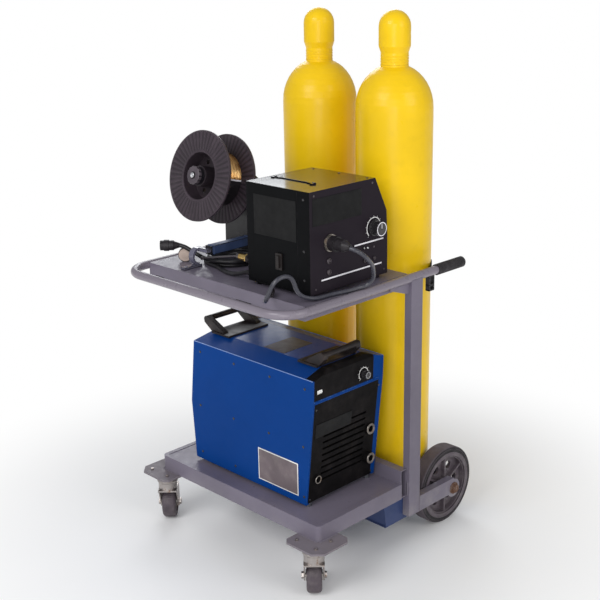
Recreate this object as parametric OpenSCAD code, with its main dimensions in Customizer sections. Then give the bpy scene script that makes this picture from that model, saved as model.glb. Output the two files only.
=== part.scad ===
// Two-cylinder welding cart with an inverter power source on the lower deck
// and a wire feeder with an open wire spool on the upper shelf.
// Frame: X runs across the cart, +X is the side that both control panels face.
// Y runs from the front rail (-Y) to the handles and the gas cylinders (+Y).
// Z is up and the wheels stand on Z = 0. Lengths are millimetres.

/* [Lower deck] */
// Width of the lower deck across the cart
deck_w = 700; // [680:10:720]
// Height of the deck surface above the floor
deck_top = 228; // [222:2:240]
// Height of the folded deck edge
deck_edge = 49; // [40:1:56]
// Thickness of the deck sheet
deck_sheet = 3; // [2:0.5:4]
// Outer radius of the front deck corners
deck_corner_r = 14; // [6:1:24]
// Width of the raised border round the deck
deck_border = 15; // [8:1:24]
// Height that the rear rail stands above the deck
rail_rise = 42; // [25:1:60]
// Depth of the rear rail from front to back
rail_d = 27; // [20:1:34]

/* [Posts and shelf] */
// Distance from the front edge of the deck to the front of the posts
post_y = 389; // [380:1:400]
// Width of the post tube across the cart
post_w = 25; // [22:0.5:25]
// Depth of the post tube along the cart
post_d = 50; // [40:1:56]
// Wall of the post and arm tubes
post_wall = 2.5; // [1.5:0.5:4]
// Outer radius of the round handle tube
loop_r = 12.7; // [11:0.1:13]
// Wall of the handle tube
loop_wall = 2; // [1.5:0.1:3]
// Width of the handle loop between tube centres
loop_w = 689; // [684:1:696]
// Height of the handle tube centre above the floor
loop_z = 868; // [850:1:890]
// Distance that the front rail stands ahead of the deck
loop_front = 105; // [95:1:120]
// Centre-line radius of the two front bends
loop_bend_r = 80; // [60:1:95]
// Distance from the deck front to the handle ends
handle_end = 636; // [610:1:660]
// Length of the black hand grips
grip_len = 122; // [100:1:140]
// Outer radius of the hand grips
grip_r = 16.5; // [15:0.5:19]
// Distance from the deck front back to the front edge of the shelf pan
pan_front = -20; // [-30:1:-10]
// Depth of the shelf pan
pan_d = 420; // [405:1:435]
// Height of the pan surface above the handle tube centre
pan_rise = 10; // [6:1:12]
// Height of the folded pan edge
pan_edge = 40; // [30:1:45]
// Thickness of the pan sheet
pan_sheet = 2.5; // [1.5:0.5:3]

/* [Rear wheels] */
// Outer radius of the rear tyres
wheel_r = 127; // [120:1:130]
// Width of the rear tyres
tyre_w = 50; // [44:1:51]
// Radius of the wheel rim that the tyre sits on
rim_r = 101; // [92:1:106]
// Distance from the deck front to the rear axle
axle_y = 610; // [604:1:620]
// Radius of the axle bolts
axle_r = 9.5; // [8:0.5:11]
// Height of the axle arm tube
arm_h = 51; // [44:1:54]
// Height of the arm centre above the axle
arm_rise = 9; // [4:1:12]
// Radius of the boss round the axle at the end of the arm
arm_boss_r = 30; // [26:1:34]

/* [Casters] */
// Distance of each swivel axis from the cart's middle
caster_x = 331; // [325:1:340]
// Distance of the swivel axes behind the deck's front edge
caster_y = 0; // [-5:1:15]
// Angle of the trail from +X towards +Y
caster_turn = 135; // [120:5:150]
// Horizontal distance from the swivel axis to the caster axle
caster_trail = 33; // [28:1:36]
// Outer radius of the caster tyre
caster_r = 51; // [46:1:52]
// Width of the caster tyre
caster_w = 45; // [38:1:46]
// Radius of the caster rim
caster_rim_r = 34; // [30:1:38]
// Radius of the caster axle bolt
caster_axle_r = 6; // [5:0.5:7]
// Radius of the swivel kingpin
kingpin_r = 7; // [6:0.5:8]

/* [Cylinder tray] */
// Height of the tray floor above the ground
tray_z = 98; // [90:1:102]
// Thickness of the tray sheet
tray_sheet = 3; // [2:0.5:4]
// Distance from the deck front to the front of the tray
tray_front = 300; // [290:1:320]
// Height of the side walls that carry the inner axle ends
tray_wall_h = 92; // [80:1:100]

/* [Gas cylinders] */
// Outer radius of the gas cylinders
cyl_r = 115.5; // [113:0.1:116]
// Distance of each cylinder axis from the cart's middle
cyl_x = 153; // [152:0.5:154]
// Distance from the deck front to the cylinder axes
cyl_y = 546; // [544:1:549]
// Wall thickness of the cylinders
cyl_wall = 6; // [4:0.5:8]
// Height of the straight body and foot of a cylinder
cyl_body_h = 1224; // [1150:2:1260]
// Height of the rounded shoulder
cyl_shoulder_h = 130; // [110:1:140]
// Radius of the neck ring that the cap screws over
neck_r = 36.5; // [35:0.5:38]
// Height of the neck ring
neck_h = 24; // [18:1:28]
// Outer radius of the valve cap
cap_r = 47; // [45:0.5:50]
// Outer radius of the cap's skirt
cap_skirt_r = 41; // [40:0.5:43]
// Total height of the valve cap
cap_h = 155; // [140:1:160]
// Wall of the valve cap
cap_wall = 3.5; // [3:0.5:4]
// Radius of the valve handwheel
valve_wheel_r = 28; // [22:1:32]
// Height of the retaining strap's middle above the floor
strap_z = 842; // [836:1:846]
// Width of the retaining strap
strap_w = 25; // [20:1:30]
// Thickness of the retaining strap
strap_t = 3; // [2:0.5:4]

/* [Power source] */
// Distance from the deck front to the near side of the power source
power_y = 58; // [50:1:62]
// Width of the power source along the cart
power_w = 294; // [284:1:298]
// Rear end of the case top, from the cart's middle
power_rear = -234; // [-240:1:-228]
// Front end of the case top, from the cart's middle
power_front = 284; // [276:1:290]
// Height of the case sides above the deck
power_side_h = 402; // [392:1:410]
// Height that the case top rises above the sides
power_crown = 20; // [14:1:26]
// Width of the sloped shoulder along the sides
power_shoulder = 64; // [50:1:70]
// Thickness of the case sheet
power_sheet = 2; // [1.5:0.5:3]
// Distance that the lower front edge leans back
power_lean = 39; // [30:1:44]
// Number of cooling louvres in the front panel
louvre_n = 9; // [6:1:10]
// Outer radius of the cooling fan
fan_r = 76; // [65:1:80]
// Number of fan blades
fan_blades = 7; // [5:1:9]
// Inner radius of the output sockets
socket_r = 9; // [7:0.5:10]
// Depth of the output sockets
socket_depth = 30; // [24:1:34]
// Radius of the power source knob
power_knob_r = 12; // [10:0.5:14]

/* [Wire feeder] */
// Rear end of the feeder case, from the cart's middle
feed_rear = 62; // [54:1:70]
// Length of the feeder case along X
feed_l = 244; // [238:1:248]
// Distance from the deck front to the door side of the feeder
feed_y = 29; // [24:1:34]
// Width of the feeder case at its foot
feed_w = 311; // [300:1:320]
// Width of the feeder's flat top
feed_top_w = 259; // [250:1:266]
// Height of the feeder case
feed_h = 282; // [274:1:290]
// Height of the rubber feet under the feeder
feed_foot_h = 12; // [8:1:14]
// Thickness of the feeder sheet
feed_sheet = 2.5; // [2:0.5:3]
// Width of the top strip that opens with the door
door_strip = 88; // [80:1:96]
// Length of the fixed frame at the feeder's front
feed_frame = 46; // [40:1:52]
// Height of the wire line above the feeder's floor
wire_h = 134; // [126:1:142]
// Distance from the door side to the wire line
wire_in = 76; // [70:1:90]
// Pitch radius of the feed rolls
roll_r = 20; // [16:0.5:22]
// Radius of the drive motor
motor_r = 36; // [30:1:40]
// Radius of the speed knob
speed_knob_r = 20.5; // [16:0.5:22]
// Radius of the bore of the gun socket
gun_bore_r = 8; // [6:0.5:9]

/* [Wire spool] */
// Radius of the spool flanges
spool_r = 135.5; // [130:0.5:138]
// Width of the spool over both flanges
spool_w = 103; // [98:1:106]
// Thickness of a spool flange
flange_t = 5; // [4:0.5:7]
// Radius of the spool's bore
spool_bore_r = 25.75; // [25:0.05:27]
// Radius of the drum that the wire is wound on
drum_r = 73; // [68:1:75]
// Outer radius of the wire pack
pack_r = 82; // [80:1:96]
// Upward tilt of the spindle's free end
spool_tilt = 14; // [8:1:16]
// Place of the spool axis, from the cart's middle
spool_x = -223; // [-228:1:-216]
// Distance from the deck front to the middle of the near flange
spool_y = 100; // [96:1:104]
// Height of the middle of the near flange above the pan
spool_rise = 261; // [254:1:266]
// Number of turns in the outer layer of the winding
wind_turns = 22; // [14:1:24]
// Radius of the drawn wire
wire_r = 1.6; // [1.2:0.1:1.7]

/* [Leads] */
// Radius of the control lead
control_r = 6.5; // [5:0.5:7]
// Outer centre-line radius of the control lead's loops
coil_r = 78; // [70:1:80]
// Number of loops that the control lead lies in
coil_turns = 3; // [2:0.5:4]
// Radius of the gun lead
gun_lead_r = 6; // [5:0.5:6.5]

/* [Hidden] */
$fn = 48;

// Clearances
run = 0.05;
gap = 0.3;
eps = 0.01;

// The cart is drawn from the deck's front edge and shifted so that the
// middle of its overall length lies on Y = 0.
front_reach = loop_front + loop_r;
rear_reach = axle_y + wheel_r;
plan_mid = (rear_reach - front_reach) / 2;

// Deck and rear rail
deck_hw = deck_w / 2;
rail_y = post_y - rail_d;
deck_low = deck_top - deck_edge;
recess_depth = 1.5;
plate_t = 6;
plate_low = deck_low - plate_t;

// Posts, arms and loop
loop_hw = loop_w / 2;
post_in = loop_hw - post_w / 2;
post_out = loop_hw + post_w / 2;
post_back = post_y + post_d;
arm_z = wheel_r + arm_rise;
post_foot = arm_z - arm_h / 2;
pan_hw = loop_hw - loop_r;
pan_top = loop_z + pan_rise;

// Rear wheels run between the arm and the tray wall
tray_in = cyl_x + cyl_r + 1.5;
hub_in = tray_in + tray_sheet + 2;
hub_out = post_in - 1.6;
hub_mid = (hub_in + hub_out) / 2;
tray_back = cyl_y + cyl_r + 6;
tray_step = post_back + 6;

// Casters
caster_ring_r = 30;
crown_z = 2 * caster_r + 16;
mount_t = 4;
mount_low = plate_low - mount_t;

// Gas cylinders
cyl_foot = tray_z;
shoulder_z = cyl_foot + cyl_body_h;
shoulder_top = shoulder_z + cyl_shoulder_h * sqrt(1 - pow((neck_r + 6) / cyl_r, 2));
neck_top = shoulder_top + neck_h;
collar_h = 6;
cap_low = shoulder_top + collar_h + gap;
cap_top = cap_low + cap_h;
stem_top = cap_low + 88;

// Power source
power_z = deck_top + 8;
power_back = power_y + power_w;
power_side = deck_top + power_side_h;
power_top = power_side + power_crown;
power_split = power_side - 66;
power_foot_front = power_front - power_lean;
power_mid_y = (power_y + power_back) / 2;
lean_angle = atan(power_lean / (power_split - power_z));

// Wire feeder
feed_z = pan_top + feed_foot_h;
feed_front = feed_rear + feed_l;
feed_back = feed_y + feed_w;
feed_top = feed_z + feed_h;
door_x0 = feed_rear + feed_sheet + 0.5;
door_x1 = feed_front - feed_frame - 0.5;
door_low = feed_z + 6;
hinge_y = feed_y + door_strip;
hinge_r = 4;
hinge_z = feed_top + 1;
wire_y = feed_y + wire_in;
wire_z = feed_z + wire_h;
roll_x = feed_rear + 128;
partition_y = wire_y + 46;
roll_low_z = wire_z - roll_r - 0.3;
roll_high_z = wire_z + roll_r + 0.3;
arm_pivot_x = roll_x - 44;
arm_pivot_z = roll_high_z - 4;
panel_x = feed_front;

// Spool
spool_z = pan_top + spool_rise;
support_y = spool_y + spool_w * cos(spool_tilt) + 34;
support_t = 4;

// The gun lead leaves its plug ahead of the feeder, comes down to the shelf,
// runs forward beside the feeder, arches over and ends in its own plug.
gun_route = [
    [380, 105, 1021], [396.2, 109.1, 1017.5], [406.8, 119.4, 1008.9], [408.4, 132.4, 998],
    [405.6, 145.6, 987], [402.8, 158.7, 976.1], [399.2, 171.3, 964.8], [392.6, 181.6, 952.6],
    [385.1, 191.2, 940.2], [377.7, 200.8, 927.9], [369.7, 209.2, 915.1], [359.4, 209.8, 901.5],
    [349.2, 201.6, 890.5], [341, 187, 888.4], [337.2, 170.1, 886.8], [334.5, 153.2, 885],
    [330.9, 136.3, 885], [327.2, 119.4, 885], [323.8, 102.4, 885], [321.9, 85.2, 885],
    [320.5, 67.9, 885], [319.2, 50.6, 885], [316.9, 33.5, 886], [312, 17.3, 889.7],
    [306.7, 1.9, 895.4], [302.2, -10.8, 906], [299.1, -19.4, 920.7], [297.6, -22.9, 937.5],
    [296, -30.3, 952.8], [294.1, -44.9, 961.3], [292.2, -62.1, 961.9], [288.2, -77.7, 956.3],
    [281.6, -86.8, 943.4], [274.5, -89.5, 927.8], [267.4, -92, 912.2], [258.3, -90.8, 897.9],
    [246.7, -81.7, 889.6], [236.1, -68.2, 888.8], [226.1, -54.1, 889.2], [216, -40, 889.6]
];
gun_plug_turn = [0, 90.6, 125.6];

// The control lead runs along the shelf from the feeder's back, winds its
// loops in two layers and climbs to the plug that lies beside them.
coil_x = -150;
coil_y = 150;
coil_rings = 24;
coil_pitch = 2 * control_r + 0.9;
coil_z = pan_top + control_r + gap;
coil_run = 2 * control_r;
coil_edge_y = coil_y - coil_r;
gland_y = feed_y + 21;
gland_z = feed_z + 12;
gland_out = feed_rear - 26;
lead_out = [
    [36, 50, 902], [20, 50, 898], [2, 49, 892], [-18, 48, 887], [-40, 48, 884.8],
    [-62, 50, 884.8], [-84, 56, 884.8], [-104, 64, 884.8], [-121, 70, 884.8],
    [-137, 72, 884.8]
];
lead_end = [
    [-163, 72, 898.7], [-181, 71, 900], [-199, 68, 905], [-216, 63, 912],
    [-232, 57, 920.5], [-246, 51, 928], [-260, 43, 931.5]
];
plug_turn = [0, -90, 43.5];
adapter_r = 21.5;

// Shapes that repeat -------------------------------------------------------

module cart() {
    translate([0, -plan_mid, 0]) children();
}

module both() {
    children();
    mirror([1, 0, 0]) children();
}

// Block between low and high limits on each axis
module slab(x, y, z) {
    translate([x[0], y[0], z[0]]) cube([x[1] - x[0], y[1] - y[0], z[1] - z[0]]);
}

module rod_x(r, x, y, z) {
    translate([x[0], y, z]) rotate([0, 90, 0]) cylinder(r = r, h = x[1] - x[0]);
}

module rod_y(r, x, y, z) {
    translate([x, y[0], z]) rotate([-90, 0, 0]) cylinder(r = r, h = y[1] - y[0]);
}

module rod_z(r, x, y, z) {
    translate([x, y, z[0]]) cylinder(r = r, h = z[1] - z[0]);
}

// Outline drawn in X and Z, pushed along Y
module profile_xz(points, y) {
    translate([0, y[1], 0]) rotate([90, 0, 0]) linear_extrude(y[1] - y[0]) polygon(points);
}

// Outline drawn in Y and Z, pushed along X
module profile_yz(points, x) {
    translate([x[0], 0, 0]) rotate([90, 0, 90]) linear_extrude(x[1] - x[0]) polygon(points);
}

module rounded_rect(x, y, r) {
    translate([x[0] + r, y[0]]) square([x[1] - x[0] - 2 * r, y[1] - y[0]]);
    translate([x[0], y[0] + r]) square([x[1] - x[0], y[1] - y[0] - 2 * r]);
    for (cx = [x[0] + r, x[1] - r], cy = [y[0] + r, y[1] - r]) translate([cx, cy]) circle(r);
}

// Ring section with rounded outer corners, drawn for rotate_extrude
module tyre_section(inner, outer, width, corner) {
    translate([inner, -width / 2]) square([outer - inner - corner, width]);
    translate([inner, -width / 2 + corner]) square([outer - inner, width - 2 * corner]);
    intersection() {
        for (side = [-1, 1]) translate([outer - corner, side * (width / 2 - corner)]) circle(corner);
        translate([inner, -width]) square([outer, 2 * width]);
    }
}

// Tube swept along points; each ring stands square to the path
function unit(v) = v / norm(v);
function tangent(p, i) = unit(p[min(i + 1, len(p) - 1)] - p[max(i - 1, 0)]);
function side_axis(t) = unit(cross(t, abs(t[2]) > 0.9 ? [1, 0, 0] : [0, 0, 1]));
module swept_tube(path, r, sides) {
    count = len(path);
    rings = [
        for (i = [0 : count - 1])
        let (t = tangent(path, i), u = side_axis(t), v = cross(t, u))
        for (k = [0 : sides - 1])
        path[i] + r * (cos(360 * k / sides) * u + sin(360 * k / sides) * v)
    ];
    walls = [
        for (i = [0 : count - 2], k = [0 : sides - 1])
        let (a = i * sides + k, b = i * sides + (k + 1) % sides)
        each [[a, a + sides, b], [b, a + sides, b + sides]]
    ];
    ends = [
        for (k = [1 : sides - 2])
        let (last = (count - 1) * sides)
        each [[0, k, k + 1], [last, last + k + 1, last + k]]
    ];
    polyhedron(points = rings, faces = concat(walls, ends), convexity = 10);
}

// Least space between the tube's wall and itself, at least some rings apart
function least_gap(path, r, apart) = min([
    for (i = [0 : len(path) - 1 - apart], j = [i + apart : len(path) - 1]) norm(path[i] - path[j])
]) - 2 * r;

// Cart frame ---------------------------------------------------------------

module deck() {
    color([0.43, 0.41, 0.46]) cart() {
        difference() {
            intersection() {
                translate([0, 0, deck_low]) linear_extrude(deck_edge)
                    rounded_rect([-deck_hw, deck_hw], [0, rail_y + 2 * deck_corner_r], deck_corner_r);
                slab([-deck_hw, deck_hw], [0, rail_y], [deck_low, deck_top]);
            }
            translate([0, 0, deck_low - 1]) linear_extrude(deck_edge - deck_sheet + 1)
                rounded_rect([-deck_hw + deck_sheet, deck_hw - deck_sheet],
                             [deck_sheet, rail_y + 2 * deck_corner_r], deck_corner_r - deck_sheet);
            slab([-deck_hw + deck_border, deck_hw - deck_border],
                 [deck_border, rail_y + 1], [deck_top - recess_depth, deck_top + 1]);
        }
        difference() {
            slab([-deck_hw + 4, deck_hw - 4], [rail_y, post_y], [deck_low, deck_top + rail_rise]);
            slab([-deck_hw, deck_hw], [rail_y + deck_sheet, post_y - deck_sheet],
                 [deck_low + deck_sheet, deck_top + rail_rise - deck_sheet]);
        }
    }
}

module corner_plates() {
    inner = caster_x - 65;
    outer = caster_x + 73;
    ahead = caster_y - 58;
    behind = caster_y + 80;
    color([0.45, 0.43, 0.46]) cart() both() difference() {
        translate([0, 0, plate_low]) linear_extrude(plate_t) polygon([
            [inner, ahead + 14], [inner + 14, ahead], [outer - 26, ahead], [outer, ahead + 26],
            [outer, behind - 18], [outer - 18, behind], [inner, behind]
        ]);
        for (dx = [-38, 38], dy = [-30, 30])
            rod_z(4.5, caster_x + dx, caster_y + dy, [plate_low - 1, deck_low + 1]);
    }
}

module cylinder_tray() {
    floor_low = tray_z - tray_sheet;
    wall_top = tray_z + tray_wall_h;
    color([0.28, 0.30, 0.40]) cart() difference() {
        union() {
            slab([-post_in, post_in], [tray_front + 8, tray_step], [floor_low, tray_z]);
            slab([-tray_in - tray_sheet, tray_in + tray_sheet], [tray_step - eps, tray_back], [floor_low, tray_z]);
            both() profile_yz([
                [tray_front, deck_low], [tray_front + 12, floor_low], [tray_step, floor_low],
                [tray_step, deck_low - 2], [post_y, deck_low]
            ], [post_in - tray_sheet, post_in]);
            profile_yz([
                [tray_front, deck_low], [tray_front + 12, floor_low],
                [tray_front + 12 + tray_sheet, floor_low], [tray_front + tray_sheet, deck_low]
            ], [-post_in, post_in]);
            both() slab([tray_in, tray_in + tray_sheet], [tray_step, tray_back], [floor_low, wall_top]);
            both() slab([tray_in, post_in], [tray_step - tray_sheet, tray_step], [floor_low, deck_low - 2]);
            slab([-tray_in, tray_in], [tray_back - tray_sheet, tray_back], [floor_low, tray_z + 45]);
        }
        both() rod_x(axle_r + run, [tray_in - 5, tray_in + 10], axle_y, wheel_r);
    }
}

module posts() {
    color([0.44, 0.42, 0.49]) cart() both() {
        difference() {
            slab([post_in, post_out], [post_y, post_back], [post_foot, loop_z]);
            slab([post_in + post_wall, post_out - post_wall],
                 [post_y + post_wall, post_back - post_wall], [post_foot - 1, loop_z + 1]);
            rod_y(loop_r + run, loop_hw, [post_y - 1, post_back + 1], loop_z);
        }
        profile_yz([
            [post_y, loop_z - loop_r - 1], [post_y, loop_z - loop_r - 30],
            [post_y - 10, loop_z - loop_r - 30], [post_y - 82, loop_z - loop_r - 6],
            [post_y - 82, loop_z - loop_r - 1]
        ], [loop_hw - 3, loop_hw + 3]);
    }
}

module axle_arms() {
    color([0.42, 0.40, 0.46]) cart() both() difference() {
        union() {
            difference() {
                slab([post_in, post_out], [post_back, axle_y], [post_foot, post_foot + arm_h]);
                slab([post_in + post_wall, post_out - post_wall], [post_back - 1, axle_y - arm_boss_r],
                     [post_foot + post_wall, post_foot + arm_h - post_wall]);
            }
            rod_x(arm_boss_r, [post_in, post_out], axle_y, wheel_r);
        }
        rod_x(axle_r + run, [post_in - 1, post_out + 1], axle_y, wheel_r);
    }
}

module shelf_pan() {
    color([0.47, 0.44, 0.48]) cart() difference() {
        slab([-pan_hw, pan_hw], [pan_front, pan_front + pan_d], [pan_top - pan_edge, pan_top]);
        slab([-pan_hw + pan_sheet, pan_hw - pan_sheet],
             [pan_front + pan_sheet, pan_front + pan_d - pan_sheet],
             [pan_top - pan_edge - 1, pan_top - pan_sheet]);
    }
}

// The handle tube: two sides, two bends and the front rail
module loop_solid(r) {
    bend_y = -loop_front + loop_bend_r;
    bend_x = loop_hw - loop_bend_r;
    both() {
        rod_y(r, loop_hw, [bend_y, handle_end], loop_z);
        translate([bend_x, bend_y, loop_z]) rotate([0, 0, -90]) rotate_extrude(angle = 90)
            translate([loop_bend_r, 0]) circle(r);
    }
    rod_x(r, [-bend_x, bend_x], -loop_front, loop_z);
}

module shelf_loop() {
    color([0.50, 0.48, 0.53]) cart() difference() {
        loop_solid(loop_r);
        loop_solid(loop_r - loop_wall);
        both() rod_y(loop_r - loop_wall, loop_hw, [handle_end - 1, handle_end + 1], loop_z);
    }
}

module hand_grips() {
    start = handle_end - grip_len;
    ribs = 14;
    pitch = (grip_len - 22) / ribs;
    color([0.10, 0.09, 0.10]) cart() both()
        translate([loop_hw, start, loop_z]) rotate([-90, 0, 0]) rotate_extrude() difference() {
            union() {
                square([grip_r, grip_len]);
                translate([0, grip_len]) square([grip_r - 3, 4]);
            }
            translate([-1, -1]) square([loop_r + run + 1, grip_len + 1]);
            for (i = [0 : ribs - 1]) translate([grip_r - 1.2, 8 + i * pitch]) square([2, pitch / 2]);
        }
}

// Strap round the backs of both cylinders, hooked under the handle tubes
module cylinder_strap() {
    inner = cyl_r + gap;
    anchor_x = loop_hw - 6;
    anchor_y = post_back + 56;
    dx = anchor_x - cyl_x;
    dy = anchor_y - cyl_y;
    reach = norm([dx, dy]);
    leave = atan2(dy, dx) + acos(inner / reach);
    run_len = sqrt(reach * reach - inner * inner);
    low = strap_z - strap_w / 2;
    // One side of the band in plan, at a distance from the cylinder wall
    function side_path(off) =
        let (r = inner + off, along = run_len - 8, start = [cos(leave), sin(leave)])
        concat(
            [[cyl_x, cyl_y] + r * start + along * [start[1], -start[0]]],
            [for (i = [0 : 24]) let (a = leave + (90 - leave) * i / 24)
                [cyl_x + r * cos(a), cyl_y + r * sin(a)]],
            [[-eps, cyl_y + r]]
        );
    back = side_path(strap_t);
    color([0.08, 0.08, 0.09]) cart() {
        translate([0, 0, low]) linear_extrude(strap_w) both()
            polygon(concat(side_path(0), [for (i = [len(back) - 1 : -1 : 0]) back[i]]));
        both() {
            difference() {
                slab([anchor_x - 8, anchor_x + 8], [anchor_y - 12, anchor_y + 12],
                     [low - 22, loop_z - loop_r + 4]);
                slab([anchor_x - 5, anchor_x + 5], [anchor_y - 15, anchor_y + 15], [low - 16, low - 6]);
                rod_y(loop_r + run, loop_hw, [anchor_y - 20, anchor_y + 20], loop_z);
            }
        }
    }
}

module axle_bolts() {
    color([0.45, 0.33, 0.26]) cart() both() {
        rod_x(axle_r, [tray_in - 1, post_out + 4], axle_y, wheel_r);
        rod_x(19, [post_out, post_out + 3], axle_y, wheel_r);
        translate([post_out + 3, axle_y, wheel_r]) rotate([0, 90, 0]) cylinder(r = 14.5, h = 8, $fn = 6);
        translate([tray_in - 9, axle_y, wheel_r]) rotate([0, 90, 0]) cylinder(r = 14.5, h = 9, $fn = 6);
    }
}

// Rear wheels --------------------------------------------------------------

module rear_tyre() {
    color([0.20, 0.18, 0.20]) cart()
        translate([hub_mid, axle_y, wheel_r]) rotate([0, 90, 0]) rotate_extrude($fn = 96)
        tyre_section(rim_r, wheel_r, tyre_w, 7);
}

module rear_hub() {
    disc_t = 9;
    spokes = 6;
    hub_len = hub_out - hub_in;
    color([0.48, 0.45, 0.50]) cart()
        translate([hub_mid, axle_y, wheel_r]) rotate([0, 90, 0]) difference() {
            union() {
                rotate_extrude($fn = 96) translate([rim_r - 9, -tyre_w / 2 + 3]) square([9, tyre_w - 6]);
                cylinder(r = rim_r - 8, h = disc_t, center = true);
                cylinder(r = 24, h = hub_len, center = true);
                for (i = [0 : spokes - 1]) rotate([0, 0, i * 360 / spokes])
                    translate([22, -3, -tyre_w / 2 + 6]) cube([rim_r - 30, 6, tyre_w - 12]);
            }
            cylinder(r = axle_r + run, h = hub_len + 2, center = true);
            for (i = [0 : spokes - 1]) rotate([0, 0, (i + 0.5) * 360 / spokes])
                translate([(rim_r + 20) / 2, 0, -disc_t]) cylinder(r = 15, h = 2 * disc_t);
        }
}

module rear_tyre_right() { rear_tyre(); }
module rear_tyre_left() { mirror([1, 0, 0]) rear_tyre(); }
module rear_hub_right() { rear_hub(); }
module rear_hub_left() { mirror([1, 0, 0]) rear_hub(); }

// Casters ------------------------------------------------------------------

module caster_mounts() {
    color([0.62, 0.60, 0.58]) cart() both() {
        difference() {
            slab([caster_x - 50, caster_x + 50], [caster_y - 42, caster_y + 42], [mount_low, plate_low]);
            for (dx = [-38, 38], dy = [-30, 30])
                rod_z(4.5, caster_x + dx, caster_y + dy, [mount_low - 1, plate_low + 1]);
        }
        rod_z(caster_ring_r - 3, caster_x, caster_y, [crown_z + 26, mount_low]);
        rod_z(kingpin_r, caster_x, caster_y, [crown_z - 11, mount_low]);
        rod_z(12, caster_x, caster_y, [crown_z - 11, crown_z - 5 - gap]);
        for (dx = [-38, 38], dy = [-30, 30]) {
            rod_z(4.4, caster_x + dx, caster_y + dy, [mount_low - 6, deck_low + 5]);
            translate([caster_x + dx, caster_y + dy, mount_low - 7]) cylinder(r = 8, h = 7, $fn = 6);
        }
    }
}

// Places a caster part in the wheel's own frame: the trail runs along +X
module caster_frame(side) {
    translate([side * caster_x, caster_y, 0]) rotate([0, 0, caster_turn]) children();
}

module caster_fork(side) {
    leg_t = 4;
    leg_in = caster_w / 2 + 3.5;
    color([0.66, 0.62, 0.60]) cart() caster_frame(side) {
        difference() {
            union() {
                rod_z(caster_ring_r, 0, 0, [crown_z, crown_z + 26 - gap]);
                slab([-30, caster_trail + 8], [-leg_in - leg_t, leg_in + leg_t], [crown_z - 5, crown_z]);
                for (s = [-1, 1]) translate([0, s * (leg_in + leg_t / 2) + leg_t / 2, 0])
                    rotate([90, 0, 0]) linear_extrude(leg_t) {
                        polygon([
                            [-26, crown_z], [caster_trail + 8, crown_z],
                            [caster_trail + 16, caster_r], [caster_trail - 16, caster_r]
                        ]);
                        translate([caster_trail, caster_r]) circle(16);
                    }
            }
            rod_z(kingpin_r + run, 0, 0, [crown_z - 6, crown_z + 30]);
            rod_y(caster_axle_r + run, caster_trail, [-50, 50], caster_r);
        }
        rod_y(caster_axle_r, caster_trail, [-leg_in - leg_t - 3, leg_in + leg_t + 3], caster_r);
        for (s = [-1, 1]) translate([caster_trail, s * (leg_in + leg_t + 3.5), caster_r])
            rotate([90, 0, 0]) cylinder(r = 10.5, h = 7, center = true, $fn = 6);
    }
}

module caster_tyre(side) {
    color([0.24, 0.21, 0.22]) cart() caster_frame(side)
        translate([caster_trail, 0, caster_r]) rotate([90, 0, 0]) rotate_extrude($fn = 72)
        tyre_section(caster_rim_r, caster_r, caster_w, 11);
}

module caster_hub(side) {
    color([0.55, 0.54, 0.56]) cart() caster_frame(side)
        translate([caster_trail, 0, caster_r]) rotate([90, 0, 0]) rotate_extrude($fn = 72) {
            translate([caster_axle_r + run, -caster_w / 2 - 2]) square([10, caster_w + 4]);
            translate([caster_axle_r + 5, -7]) square([caster_rim_r - caster_axle_r - 8, 14]);
            translate([caster_rim_r - 6, -caster_w / 2 + 4]) square([6, caster_w - 8]);
        }
}

module caster_fork_right() { caster_fork(1); }
module caster_fork_left() { caster_fork(-1); }
module caster_tyre_right() { caster_tyre(1); }
module caster_tyre_left() { caster_tyre(-1); }
module caster_hub_right() { caster_hub(1); }
module caster_hub_left() { caster_hub(-1); }

// Gas cylinders ------------------------------------------------------------

// Half outline of a cylinder that is smaller than the outer one by an inset
function shell_outline(inset) =
    let (r = cyl_r - inset, h = cyl_shoulder_h - inset, stop = acos((neck_r + 6 - inset) / cyl_r))
    concat(
        [[0, cyl_foot + inset * 1.5], [r - 14, cyl_foot + inset * 1.5], [r, cyl_foot + 14 + inset]],
        [for (i = [0 : 8]) [r * cos(stop * i / 8), shoulder_z + h * sin(stop * i / 8)]],
        [[0, shoulder_z + h * sin(stop)]]
    );

module gas_cylinder(side) {
    color([0.95, 0.77, 0.08]) cart() translate([side * cyl_x, cyl_y, 0]) {
        rotate_extrude($fn = 96) difference() {
            union() {
                polygon(shell_outline(0));
                translate([0, shoulder_top - 4]) square([neck_r, neck_h + 4]);
                translate([0, shoulder_top - 4]) square([neck_r + 5, collar_h + 4]);
            }
            difference() {
                polygon(shell_outline(cyl_wall));
                translate([0, shoulder_top - 22]) square([neck_r - 6, 30]);
            }
            translate([-1, shoulder_top - 30]) square([13, neck_h + 40]);
        }
    }
}

module cylinder_right() { gas_cylinder(1); }
module cylinder_left() { gas_cylinder(-1); }

module cylinder_valves() {
    color([0.72, 0.58, 0.28]) cart() for (side = [-1, 1]) translate([side * cyl_x, cyl_y, 0]) {
        rod_z(11.95, 0, 0, [shoulder_top - 18, neck_top]);
        rod_z(15, 0, 0, [neck_top, neck_top + 34]);
        rod_y(9, 0, [-28, 0], neck_top + 18);
        rod_z(5, 0, 0, [neck_top + 34, stem_top]);
        rod_z(8, 0, 0, [neck_top + 34, stem_top - 16]);
    }
}

module valve_wheel(side) {
    color([0.25, 0.32, 0.28]) cart() translate([side * cyl_x, cyl_y, stem_top - 15.5]) difference() {
        union() {
            rotate_extrude() translate([valve_wheel_r - 4, 5]) circle(4);
            cylinder(r = 10, h = 11);
            for (i = [0 : 3]) rotate([0, 0, i * 90]) translate([8, -3, 2]) cube([valve_wheel_r - 12, 6, 6]);
        }
        translate([0, 0, -1]) cylinder(r = 5 + run, h = 20);
    }
}

module valve_wheel_right() { valve_wheel(1); }
module valve_wheel_left() { valve_wheel(-1); }

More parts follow.
